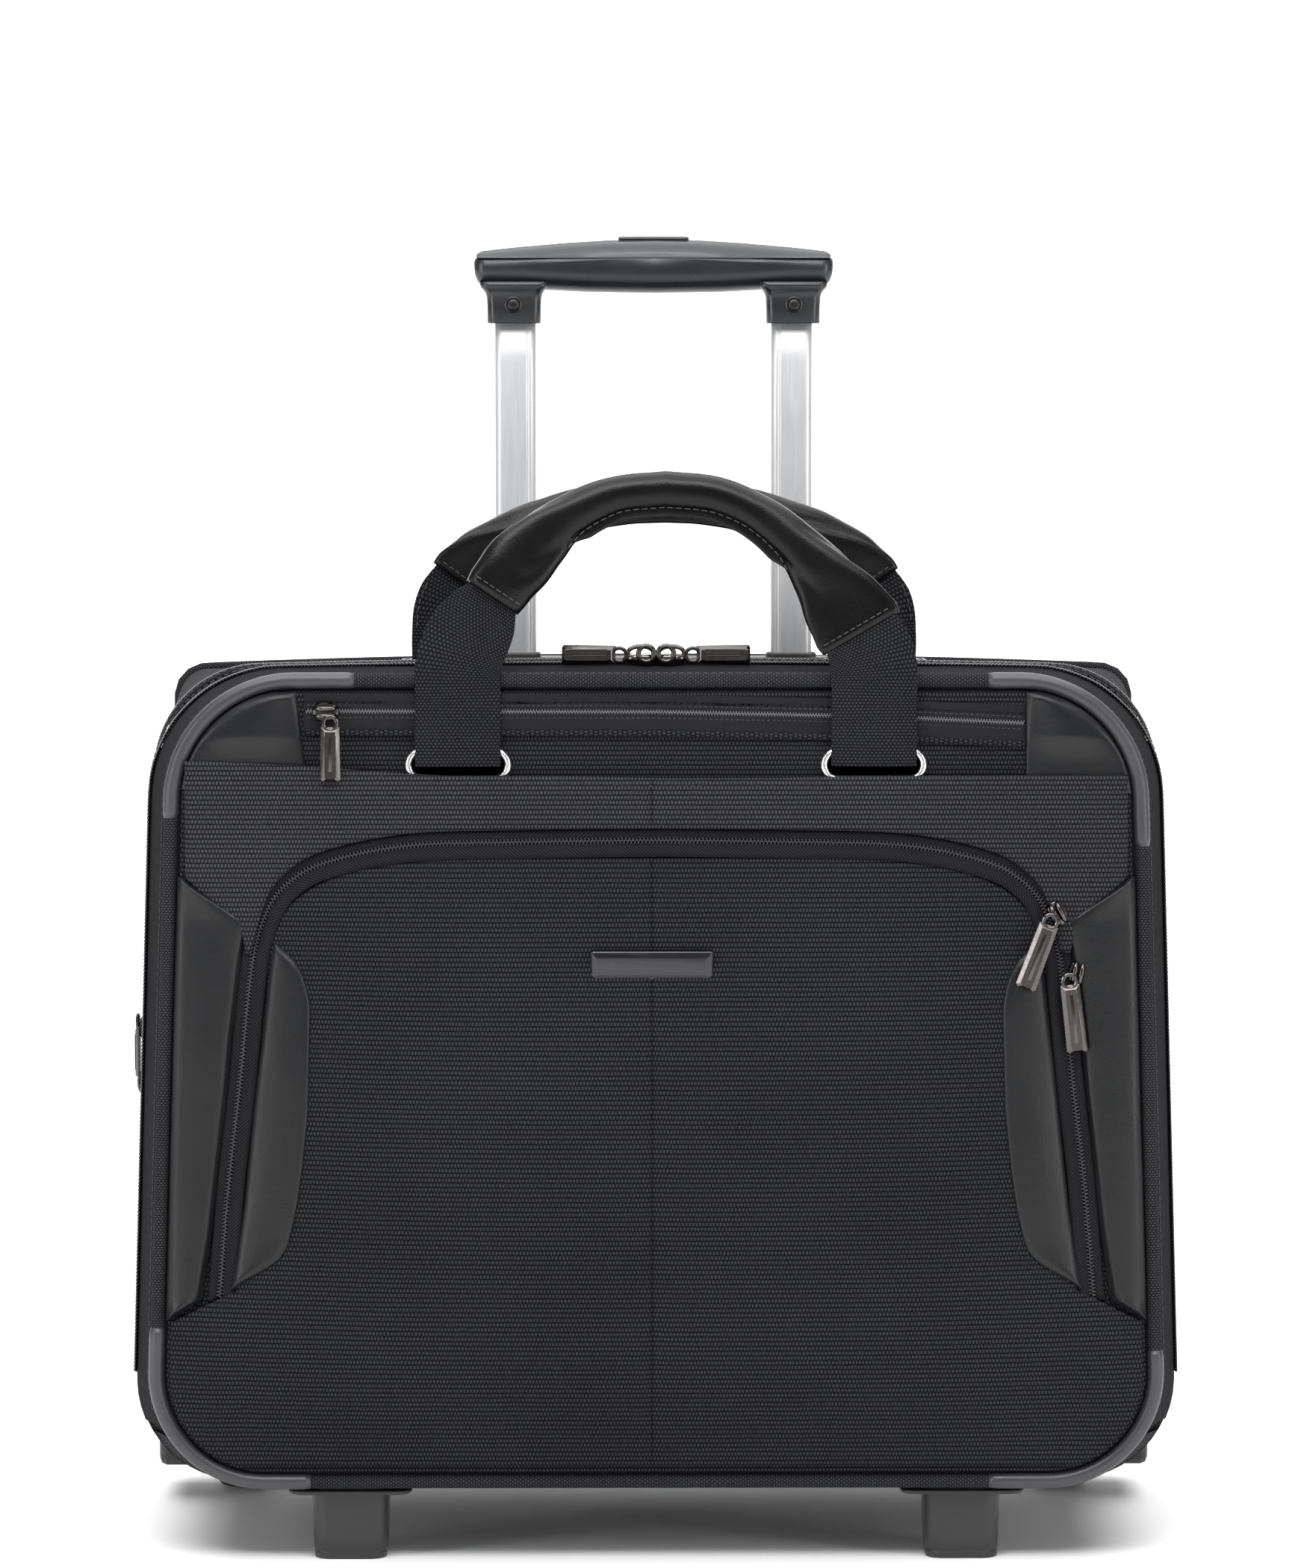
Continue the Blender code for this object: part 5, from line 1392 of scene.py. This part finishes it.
def strap_leg(name, k, leg, leg_run, end, gather, seed, body):
    """One woven leg of a carry handle, gathered where it enters the sleeve."""
    wave = 0.0006 * np.sin(leg_run / 0.017 + k + seed)
    leg[:, 1] += wave - 0.0010 * np.exp(-((leg_run - 0.012) / 0.010) ** 2)
    inside = np.clip((leg_run - end + 0.006) / 0.012, 0, 1)
    pinch = np.clip((leg_run - end + 0.022) / 0.024, 0, 1) ** 2 * gather
    sections = np.array([oval((WEB_HALF - 0.0022 * i) * (1 - p), WEB_THICK * (1 + 3 * p), 40, 0.75)
                         for i, p in zip(inside, pinch)])
    bow = 0.0010 * np.sin(leg_run / 0.020 + 2 * k)
    sections[:, :, 1] += bow[:, None] * (sections[:, :, 0] / WEB_HALF) ** 2
    strap = sweep("%s_strap_%d" % (name, k), leg, sections, WEBBING)
    settle(strap, body, (name + "_webbing",) if k == 0 else ())
    if name != "rear_handle":
        return
    _, out, across = frames(leg)
    for edge in (-1, 1):
        row = leg + out * edge * (WEB_HALF - 0.0022) - across * 0.00145
        row = row[(leg_run > 0.012) & (leg_run < end - 0.002)][:8]
        settle(stitches("%s_strap_stitch_%d_%d" % (name, k, edge + 1), row,
                        facing((0, -1, 0), len(row)), THREAD), body)


def sleeve_section(wide, thick, near, right, seed):
    """Section of the folded sleeve at a distance from its nearer end, with its creases."""
    ring = oval(wide, thick, SLEEVE_SIDES, 0.5)
    turn = (np.arange(SLEEVE_SIDES) + 0.5) * 2 * np.pi / SLEEVE_SIDES
    envelope = math.exp(-((near - 0.030) / 0.020) ** 2)
    fold = np.cos(3 * turn + seed + (1.3 if right else 0.0) + near * 60)
    crease = -np.abs(np.sin(1.5 * turn + near * 45 + seed * 0.7)) ** 8
    ring += ring * ((0.055 * fold + 0.10 * crease)[:, None] * envelope)
    ripple = 0.012 * np.sin(near * 420 + 2 * np.sin(turn)) * math.exp(-near / 0.05)
    return ring + ring * (ripple * (0.4 + 0.6 * np.cos(turn) ** 2))[:, None]


def sleeve_seam(name, grip, near, wide, body):
    """The sewn flange under the sleeve and its row of stitches."""
    _, out, across = frames(grip)
    mid = near > 0.036
    seam = grip[mid] - out[mid] * (wide[mid] + 0.0006)[:, None] - across[mid] * 0.0012
    grow = np.clip((near[mid] - 0.036) / 0.014, 0.12, 1.0)
    seam += out[mid] * ((1 - grow) * 0.0034)[:, None]
    flange = rounded(0.0052, 0.0030, 0.0011, 3)[None] * grow[:, None, None]
    # The seam flange carries half the painted edge highlight.
    tab = sweep(name + "_seam_flange", seam, flange, GRIP_LEATHER,
                edge_highlight=np.repeat(0.5, len(seam) * 16))
    settle(tab, body)
    row = grip[mid] - out[mid] * (wide[mid] - 0.0008)[:, None] - across[mid] * 0.0052
    settle(stitches(name + "_seam_stitch", row, -across[mid], THREAD, 0.0036, 0.0027, 0.0003),
           body)


def sleeve_hems(name, grip, wide, thick, body):
    """A row of stitches across each end of the sleeve."""
    _, out, across = frames(grip)
    for k in (0, -1):
        step = (grip[1] - grip[0]) if k == 0 else (grip[-2] - grip[-1])
        step = step / np.linalg.norm(step)
        t = np.linspace(-0.92, 0.92, 30)[:, None]
        row = (grip[k] + step * 0.0030 + out[k] * t * (wide[k] - 0.0004)
               - across[k] * (thick[k] + 0.0007))
        settle(stitches("%s_hem_stitch_%d" % (name, k + 1), row, facing(-across[k], 30), THREAD,
                        0.0032, 0.0024, 0.0003), body)


def carry_handle(name, points, lean, y, base_z, body, ends, seed, gather):
    """Woven strap in two legs, and the folded leatherette sleeve with its sewn seam."""
    path = handle_path(points, lean, y, base_z)
    run = lengths(path)
    total = run[-1]
    starts = (ends[0], total - ends[1])
    left, right = run < starts[0] + 0.012, run > starts[1] - 0.012
    strap_leg(name, 0, path[left].copy(), run[left], ends[0], gather[0], seed, body)
    strap_leg(name, 1, path[right].copy(), total - run[right], ends[1], gather[1], seed, body)
    keep = (run >= starts[0]) & (run <= starts[1])
    grip = path[keep]
    from_start = run[keep] - run[keep][0]
    from_stop = run[keep][-1] - run[keep]
    near = np.minimum(from_start, from_stop)
    right = from_stop < from_start
    wide = np.interp(near, SLEEVE_RUN, SLEEVE_WIDE)
    thick = np.interp(near, SLEEVE_RUN, SLEEVE_THICK)
    fold_in = np.where(right, gather[1], gather[0]) * np.exp(-(near / 0.020) ** 2)
    wide *= 1 - fold_in
    thick *= 1 + 4.0 * fold_in
    sections = np.array([sleeve_section(*one, seed) for one in zip(wide, thick, near, right)])
    # Painted highlight that lightens the sleeve towards its ends.
    edge_highlight = np.repeat(np.exp(-near / 0.0022), SLEEVE_SIDES) * 0.6
    sleeve = sweep(name + "_sleeve", grip, sections, GRIP_LEATHER, edge_highlight=edge_highlight)
    settle(sleeve, body, name + "_grip")
    sleeve_seam(name, grip, near, wide, body)
    sleeve_hems(name, grip, wide, thick, body)


def handle_anchor(name, sign):
    """Sewn leatherette tab on the case's top, under one leg of the rear handle."""
    x = sign * 0.0917 + HANDLE_SHIFT
    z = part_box("rear_handle_webbing")[0].z - 0.0004
    rings = []
    for rise, size in ((-0.0012, 1.0), (0.0004, 1.0), (0.0010, 0.97), (0.0012, 0.5)):
        flat = rounded(0.046 * size, 0.026 * size, 0.004 * size, 4)
        rings.append(level(flat, x, REAR_HANDLE_Y, z + rise))
    tab = skin("handle_anchor_" + name, rings, LEATHER, planar=(0, 1))
    settle(tab, "case")
    stitched = rounded(0.041, 0.021, 0.003, 4)
    stitched = np.vstack([stitched, stitched[:1]])
    row = resample(level(stitched, x, REAR_HANDLE_Y, z + 0.0012), 0.002)
    settle(stitches("handle_anchor_stitch_" + name, row, facing((0, 0, 1), len(row)), THREAD),
           "case")


def handles():
    carry_handle("front_handle", FRONT_LINE, 0.19, -0.0945, 0.340, "front_handle",
                 (0.073, 0.056), 0.4, (0.30, 0.0))
    carry_handle("rear_handle", REAR_LINE, 0.0, REAR_HANDLE_Y, 0.3800, "rear_handle",
                 (0.032, 0.030), 2.1, (0.0, 0.0))
    for name, sign in SIDES:
        handle_anchor(name, sign)


# ---------------------------------------------------------------- trolley

TROLLEY_X = 0.0617
TROLLEY_Y = 0.079
GROOVE_X = 0.0055
BUTTON_CREST = 0.5653


def chaikin(points, rounds=3):
    """Cut the corners of a closed outline."""
    p = np.array(points, float)
    for _ in range(rounds):
        q = np.roll(p, -1, axis=0)
        p = np.stack([0.8 * p + 0.2 * q, 0.2 * p + 0.8 * q], axis=1).reshape(-1, 2)
    return p


def inset_line(points, depth):
    """Move a closed anticlockwise or clockwise outline inward."""
    along = np.roll(points, -1, axis=0) - np.roll(points, 1, axis=0)
    along /= np.maximum(np.linalg.norm(along, axis=1), 1e-9)[:, None]
    inside = np.column_stack([-along[:, 1], along[:, 0]])
    area = np.sum(points[:, 0] * np.roll(points[:, 1], -1)
                  - np.roll(points[:, 0], -1) * points[:, 1])
    return points + inside * depth * np.sign(area)


def puffed(name, points, y0, y1, radius, look, steps=5):
    """A body over a front outline, with rounded front and back edges."""
    turns = np.linspace(0, np.pi / 2, steps + 1)
    levels = [(y0 + radius * (1 - math.sin(t)), radius * (1 - math.cos(t))) for t in turns[::-1]]
    levels += [(y1 - radius * (1 - math.sin(t)), radius * (1 - math.cos(t))) for t in turns]
    loops = [at_y(inset_line(points, inset), y) for y, inset in levels]
    return skin(name, loops, look, planar=(0, 2))


def screw(name, centre, radius, look, body, out=(0, -1, 0)):
    """Cross-head screw in a shallow rim."""
    out = np.array(out, float)
    side = np.array([1.0, 0, 0]) if abs(out[0]) < 0.5 else np.array([0, 1.0, 0])
    up = np.cross(out, side)
    turn = np.arange(40) * 2 * np.pi / 40
    rings = []
    for r, h in ((1.15, -0.1), (1.15, 0.16), (1.0, 0.24), (0.90, 0.10), (0.84, 0.10),
                 (0.80, 0.22), (0.62, 0.34), (0.40, 0.38), (0.34, 0.36), (0.30, 0.05),
                 (0.02, 0.02)):
        size = np.full(40, r)
        if 0.25 < r < 0.36:
            size = r * (0.35 + 0.65 * np.abs(np.cos(2 * turn)) ** 3)
        rings.append(np.array(centre) + radius * (size * np.cos(turn))[:, None] * side
                     + radius * (size * np.sin(turn))[:, None] * up + out * h * radius)
    piece = skin(name, rings, look)
    sharpen(piece, 40)
    settle(piece, body)


GRIP_LOW = ((0.0, 0.5400), (0.030, 0.5405), (0.0500, 0.5415), (0.0720, 0.5428),
            (0.0765, 0.5436), (0.0785, 0.5450), (0.0796, 0.5475), (0.0800, 0.5505))
GRIP_HIGH = ((0.0, 0.5640), (0.020, 0.5637), (0.040, 0.5624), (0.060, 0.5607),
             (0.0720, 0.5594), (0.0765, 0.5588), (0.0788, 0.5576), (0.0800, 0.5545))


def grip_ring(x, low, high, half, radius):
    """Rounded section of the hand grip across X."""
    ring = []
    for side, z, first in ((1, high, 0), (-1, high, 1), (-1, low, 2), (1, low, 3)):
        lift = -radius if z == high else radius
        for turn in np.linspace(first, first + 1, 9) * np.pi / 2:
            ring.append((x, TROLLEY_Y + side * (half - radius) + radius * math.cos(turn),
                         z + lift + radius * math.sin(turn)))
    return np.array(ring)


def grip_rings(half):
    """Sections of the hand grip from end to end, rounded off at both ends."""
    low, high = np.array(GRIP_LOW), np.array(GRIP_HIGH)
    xs = np.concatenate([np.linspace(0, 0.0730, 34)[:-1], np.linspace(0.0730, 0.0800, 22)])
    xs = np.concatenate([-xs[:0:-1], xs])
    rings = []
    for x in xs:
        lo = float(np.interp(abs(x), low[:, 0], low[:, 1]))
        hi = float(np.interp(abs(x), high[:, 0], high[:, 1]))
        end = np.clip((abs(x) - 0.0740) / 0.0061, 0, 1)
        deep = half * (0.55 + 0.45 * math.sqrt(1 - end ** 2))
        rings.append(grip_ring(x, lo, hi, deep, min(0.0088, 0.48 * (hi - lo))))
    return np.array(rings)


def grip_socket(name, sign, half):
    """Boss under the grip that a tube runs into, flared where it meets the bar."""
    rings = []
    for z, grow in ((0.5268, -0.0008), (0.5266, -0.0002), (0.5270, 0.0), (0.5340, 0.0001),
                    (0.5380, 0.0003), (0.5398, 0.0008), (0.5412, 0.0017), (0.5426, 0.0030),
                    (0.5450, 0.0036)):
        flat = rounded(0.0238 + 2 * grow, 2 * (half - 0.0013) + grow, 0.0042, 6)
        rings.append(level(flat, sign * 0.0622, TROLLEY_Y, z))
    piece = skin("grip_socket_" + name, rings, GRIP)
    settle(piece, "trolley_top")


def hand_grip(half):
    """The grip in two halves that meet at a parting line."""
    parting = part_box("grip_upper")[0].z + 0.0006
    rings = grip_rings(half)
    under = rings.copy()
    under[:, :, 2] = np.minimum(under[:, :, 2], parting - 0.00015)
    lower = skin("grip_body", under, GRIP, planar=(0, 2))
    settle(lower, "trolley_top", "grip_lower")
    over = rings[rings[:, :, 2].max(1) > parting + 0.0010]
    over[:, :, 2] = np.maximum(over[:, :, 2], parting)
    upper = skin("grip_cap", over, GRIP, planar=(0, 2))
    settle(upper, "trolley_top", "grip_upper")


def trigger():
    """The release button's cap, flush with the grip's crest."""
    low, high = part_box("release_button")
    foot, edge = BUTTON_CREST - 0.006, BUTTON_CREST - 0.0006
    flat = chaikin([(-0.0158, foot), (0.0158, foot), (0.0158, edge), (0.0148, BUTTON_CREST),
                    (-0.0148, BUTTON_CREST), (-0.0158, edge)], 2)
    button = puffed("trigger_cap", flat, low.y, high.y, 0.0012, GRIP)
    settle(button, "trolley_button", "release_button")


def drawn_tube(name, sign):
    """Inner tube with a drawn groove near its outer side, front and back."""
    section = densify(rounded(0.0183, 0.0110, 0.0035, 7), 0.0004)
    groove = np.exp(-((section[:, 0] + sign * GROOVE_X) / 0.00035) ** 2)
    dip = groove * (np.abs(section[:, 1]) > 0.004)
    section[:, 1] -= np.sign(section[:, 1]) * 0.0006 * dip
    rings = [level(section, sign * TROLLEY_X, TROLLEY_Y, z) for z in np.linspace(0.195, 0.5405, 12)]
    tube = skin("drawn_tube_" + name, rings, SILVER)
    settle(tube, "trolley_top", "inner_tube_" + name)


def tube_collar(name, sign):
    """Moulded collar where the inner tube leaves the middle tube."""
    ring = rounded(0.0225, 0.0152, 0.0045, 6)
    bore = rounded(0.0186, 0.0113, 0.0036, 6)
    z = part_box("mid_tube_left")[1].z
    loops = [level(r, sign * TROLLEY_X, TROLLEY_Y, h)
             for r, h in ((ring * 0.97, z - 0.002), (ring, z + 0.0002), (ring, z + 0.0014),
                          (ring * 0.96, z + 0.0022), (bore * 1.02, z + 0.0022),
                          (bore, z - 0.002))]
    settle(skin("tube_collar_" + name, loops, HARD, cyclic=True), "trolley_mid")


def trolley():
    """Grip, button, screws, inner tubes and collars."""
    y0, y1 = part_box("grip_lower")[0].y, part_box("grip_lower")[1].y
    half = (y1 - y0) / 2
    hand_grip(half)
    trigger()
    for name, sign in SIDES:
        grip_socket(name, sign, half)
        screw("grip_screw_" + name, (sign * 0.0625, y0 + 0.0011, 0.5348), 0.0032, SCREW,
              "trolley_top")
        drawn_tube(name, sign)
        tube_collar(name, sign)


# ---------------------------------------------------------------- wheels, feet and base


def turned(name, profile, centre, look, steps=64):
    """A body turned about X; the profile is closed, as (offset, radius)."""
    rings = []
    for t in (2 * math.pi * i / steps for i in range(steps)):
        rings.append([(centre[0] + a, centre[1] + r * math.cos(t), centre[2] + r * math.sin(t))
                      for a, r in profile])
    return skin(name, rings, look, cyclic=True)


TREAD = ((-0.70, 0.775), (-0.92, 0.80), (-1.0, 0.86), (-0.97, 0.925), (-0.86, 0.968),
         (-0.70, 0.99), (-0.42, 0.998), (-0.36, 0.975), (-0.30, 0.998), (0.0, 1.0),
         (0.30, 0.998), (0.36, 0.975), (0.42, 0.998), (0.70, 0.99), (0.86, 0.968),
         (0.97, 0.925), (1.0, 0.86), (0.92, 0.80), (0.70, 0.775))
HUB_HALF = ((0.0112, 0.0034), (0.0112, 0.0075), (0.0098, 0.0085), (0.0055, 0.0092),
            (0.0055, 0.0165), (0.0098, 0.0178), (0.0108, 0.0205), (0.0100, 0.0225))


def hub_ribs(name, centre):
    """Eight short spokes on each face of a hub."""
    parts = []
    for k in range(8):
        t = 2 * math.pi * k / 8
        d = np.array([0.0, math.cos(t), math.sin(t)])
        for side in (-1, 1):
            middle = centre + d * 0.0130 + np.array([side * 0.0068, 0, 0])
            parts.append(bead(middle, d, np.array([1.0, 0, 0]), 0.0105, 0.0022, 0.0014, 8))
    settle(join_parts("hub_ribs_" + name, parts, HARD), "wheel_" + name)


def hub_cap(name, side, centre):
    """Domed steel end of the axle."""
    rings = [centre + [side * (0.0112 + h), 0, 0]
             + np.column_stack([np.zeros(28), circle(0.0062 * r, 28)])
             for r, h in ((1.0, -0.0010), (1.0, 0.0003), (0.9, 0.0008), (0.5, 0.0011),
                          (0.02, 0.0012))]
    settle(skin("hub_cap_%s_%d" % (name, side + 1), rings, STEEL), "wheel_" + name)


def wheels():
    """Tyres with a grooved tread, and webbed hubs."""
    for name, _ in SIDES:
        low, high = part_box("tyre_" + name)
        centre = (low + high) / 2
        radius, half = (high.z - low.z) / 2, (high.x - low.x) / 2
        tyre = turned("tread_" + name, [(a * half, r * radius) for a, r in TREAD], centre,
                      RUBBER, 72)
        settle(tyre, "wheel_" + name, "tyre_" + name)
        hub = [(-a, r) for a, r in HUB_HALF] + list(HUB_HALF[::-1])
        disc = turned("hub_disc_" + name, hub, centre, HARD, 64)
        settle(disc, "wheel_" + name, "hub_" + name)
        hub_ribs(name, np.array(centre))
        for side in (-1, 1):
            hub_cap(name, side, np.array(centre))


def feet():
    """Two moulded front feet with a flange under the case."""
    for name, _ in SIDES:
        low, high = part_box("front_foot_" + name)
        centre = (low + high) / 2
        width, depth = high.x - low.x, high.y - low.y
        rings = []
        for z, s in ((0.0, 0.90), (0.0006, 0.925), (0.0026, 0.945), (0.0030, 0.925),
                     (0.0038, 0.925), (0.0042, 0.95), (0.0100, 0.962), (0.0170, 0.975),
                     (0.0240, 0.99), (0.0290, 1.0), (high.z, 1.0)):
            flat = rounded(width * s, depth * s, 0.0075 * s, 8)
            rings.append(level(flat, centre.x, centre.y, z))
        foot = skin("foot_" + name, rings, HARD)
        sharpen(foot, 50)
        settle(foot, "case", "front_foot_" + name)
        plate = []
        for z, w in ((high.z - 0.0004, 0.052), (high.z - 0.0012, 0.053), (high.z - 0.0022, 0.051)):
            flat = rounded(w, 0.036, 0.006, 6)
            plate.append(level(flat, centre.x, centre.y, z))
        settle(skin("foot_flange_" + name, plate, HARD), "case")


def base_details():
    """Ribs and screws of the skid plate and the wheel housings."""
    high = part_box("skid_plate")[1]
    for k, x in enumerate((-0.125, -0.042, 0.042, 0.125)):
        screw("skid_screw_%d" % k, (x, high.y + 0.0001, 0.070), 0.0042, STEEL, "case",
              (0, 1, 0))
    for k, x in enumerate(np.linspace(-0.108, 0.108, 7)):
        line = np.array([[x, high.y + 0.0002, z] for z in np.linspace(0.034, 0.060, 14)])
        size = np.interp(np.arange(14), [0, 1.5, 11.5, 13], [0.15, 1, 1, 0.15])
        section = rounded(0.0022, 0.006, 0.0009, 4)[None] * size[:, None, None]
        rib = sweep("skid_rib_%d" % k, line, section, HARD, side=(1, 0, 0))
        settle(rib, "case")
    for name, sign in SIDES:
        low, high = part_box("wheel_housing_" + name)
        for k, (y, z) in enumerate(((0.0500, 0.0655), (0.0990, 0.0655))):
            x = high.x if sign > 0 else low.x
            screw("housing_screw_%s_%d" % (name, k), (x + sign * 0.0001, y, z), 0.0028, STEEL,
                  "case", (sign, 0, 0))


def interior():
    """Padded divider with a bound edge, and a cover on the base board."""
    low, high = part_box("divider_pad")
    rows = edge_steps(high.z - low.z, FINE, 34) * (high.z - low.z) + low.z

    def quilt(x, z):
        channel = np.abs(((x + 0.0875) / 0.0875 + 0.5) % 1.0 - 0.5) * 0.0875
        return -0.0008 * np.exp(-(channel / 0.0018) ** 2)

    pad_piece = pad("divider_cushion", rows, lambda z: low.x, lambda z: high.x,
                    lambda x, z: np.full(np.shape(x), (low.y + high.y) / 2), LINING,
                    thick=(high.y - low.y) / 2 - 0.0002, roll=0.006, count=40, extra=quilt,
                    sink=(high.y - low.y) / 2 - 0.0004)
    settle(pad_piece, "case", "divider_pad")
    line = np.array([[x, (low.y + high.y) / 2, high.z - 0.0004]
                     for x in np.linspace(low.x + 0.001, high.x - 0.001, 60)])
    settle(sweep("divider_binding", line, rounded(0.0034, 0.0066, 0.0014, 4), PIPING_WEAVE),
           "case")
    depth = np.linspace(-0.060, 0.036, 6)
    rings = []
    for x, z in ((-0.178, 0.0362), (0.178, 0.0362)):
        rings.append([(x, y, z) for y in depth] + [(x, y, z - 0.0010) for y in depth[::-1]])
    settle(skin("base_board_cover", rings, LINING, planar=(0, 1)), "case")


# ---------------------------------------------------------------- carried-over nodes and stage


def dress_nodes():
    """Better materials for the CAD nodes that stay in view."""
    looks = {"trolley_bezel": HARD, "trolley_base_bracket": HARD, "skid_plate": HARD,
             "wheel_housing_left": HARD, "wheel_housing_right": HARD, "axle_left": STEEL,
             "axle_right": STEEL, "outer_tube_left": SILVER, "outer_tube_right": SILVER,
             "mid_tube_left": SILVER, "mid_tube_right": SILVER, "push_rod_left": STEEL,
             "push_rod_right": STEEL, "back_partition": PLAIN_LINING}
    for name, node in frame["nodes"].items():
        if name in looks:
            node.data.materials.clear()
            node.data.materials.append(looks[name])


def plain_lining():
    """Lining cloth for the CAD's own partition, which carries no cloth coordinates."""
    look = Look("partition cloth", 0.85, Sheen_Weight=0.05, Specular_IOR_Level=0.15)
    threads = look.noise(1800.0, 2.0, stretch=(1.0, 1.0, 0.3))
    broad = look.noise(14.0, 3.0)
    colour = look.mix(look.math("MULTIPLY", threads, broad), (0.05, 0.052, 0.058),
                      (0.26, 0.27, 0.29))
    return look.done(colour, None, look.bump(threads, 0.0001, 0.5))


PLAIN_LINING = plain_lining()


SENSOR_MM = 36
FOCAL_FRAMES = 3.79285714  # focal length in frame heights
TILT_DEG = 4.18


def area_light(name, place, aim, size, power, tall=None):
    """A rectangular lamp aimed at a point."""
    data = bpy.data.lights.new(name, "AREA")
    data.energy = power
    data.shape = "RECTANGLE"
    data.size = size
    data.size_y = tall or size
    lamp = bpy.data.objects.new(name, data)
    bpy.context.scene.collection.objects.link(lamp)
    lamp.location = place
    lamp.rotation_euler = (Vector(aim) - Vector(place)).to_track_quat("-Z", "Y").to_euler()
    return lamp


def stage():
    """Pale sweep behind and under the case, soft lights and the camera."""
    bpy.context.scene.view_settings.view_transform = "Standard"
    world = bpy.data.worlds.new("studio")
    bpy.context.scene.world = world
    world.use_nodes = True
    back = world.node_tree.nodes["Background"]
    back.inputs["Color"].default_value = (1.0, 1.0, 1.0, 1.0)
    back.inputs["Strength"].default_value = 0.28
    look = Look("studio floor", 0.8, Specular_IOR_Level=0.1)
    colour = look.mix(look.noise(2.0, 2.0), (0.90, 0.90, 0.90), (0.92, 0.92, 0.92))
    rings = []
    for y, z in ((-6.0, 0.0), (2.5, 0.0), (3.6, 0.25), (4.3, 0.9), (4.6, 2.0), (4.6, 6.0)):
        rings.append([(x, y, z) for x in np.linspace(-7, 7, 9)])
    floor = skin("floor", rings, look.done(colour), closed=False)
    area_light("overhead", (0, 0.3, 3.2), (0, 0.3, 0), 4.4, 185, 4.4)
    area_light("backdrop wash", (0, 2.2, 3.0), (0, 4.6, 1.0), 5.0, 150, 1.0)
    area_light("key", (-0.4, -1.5, 2.3), (0, 0, 0.34), 1.4, 12, 0.9)
    area_light("top strip", (0, -0.9, 1.2), (0, -0.1, 0.34), 1.3, 10, 0.35)
    area_light("left strip", (-1.7, -1.1, 0.6), (0, 0, 0.25), 0.35, 12, 1.4)
    area_light("right strip", (1.7, -1.1, 0.6), (0, 0, 0.25), 0.35, 12, 1.4)
    add_camera()


def add_camera():
    """A long lens at the case's front, a little above it and tilted down."""
    data = bpy.data.cameras.new("camera")
    data.sensor_fit = "VERTICAL"
    data.sensor_height = SENSOR_MM
    data.lens = SENSOR_MM * FOCAL_FRAMES
    data.clip_start, data.clip_end = 0.05, 50
    camera = bpy.data.objects.new("camera", data)
    bpy.context.scene.collection.objects.link(camera)
    camera.location = (-0.020, -2.59, 0.515)
    camera.rotation_euler = (math.radians(90 - TILT_DEG), 0, -0.0075)
    bpy.context.scene.camera = camera


def build():
    """Every piece, from the case outward, then the CAD looks and the stage."""
    case_body()
    rear_wall()
    back_pad()
    main_zips()
    lid_body()
    piping()
    arch_zip()
    front_panel()
    slip_pocket()
    outer_inlays()
    flap_inlays()
    corner_patches()
    top_band()
    eyelets()
    sliders()
    badge()
    handles()
    trolley()
    wheels()
    feet()
    base_details()
    interior()
    dress_nodes()
    stage()


build()
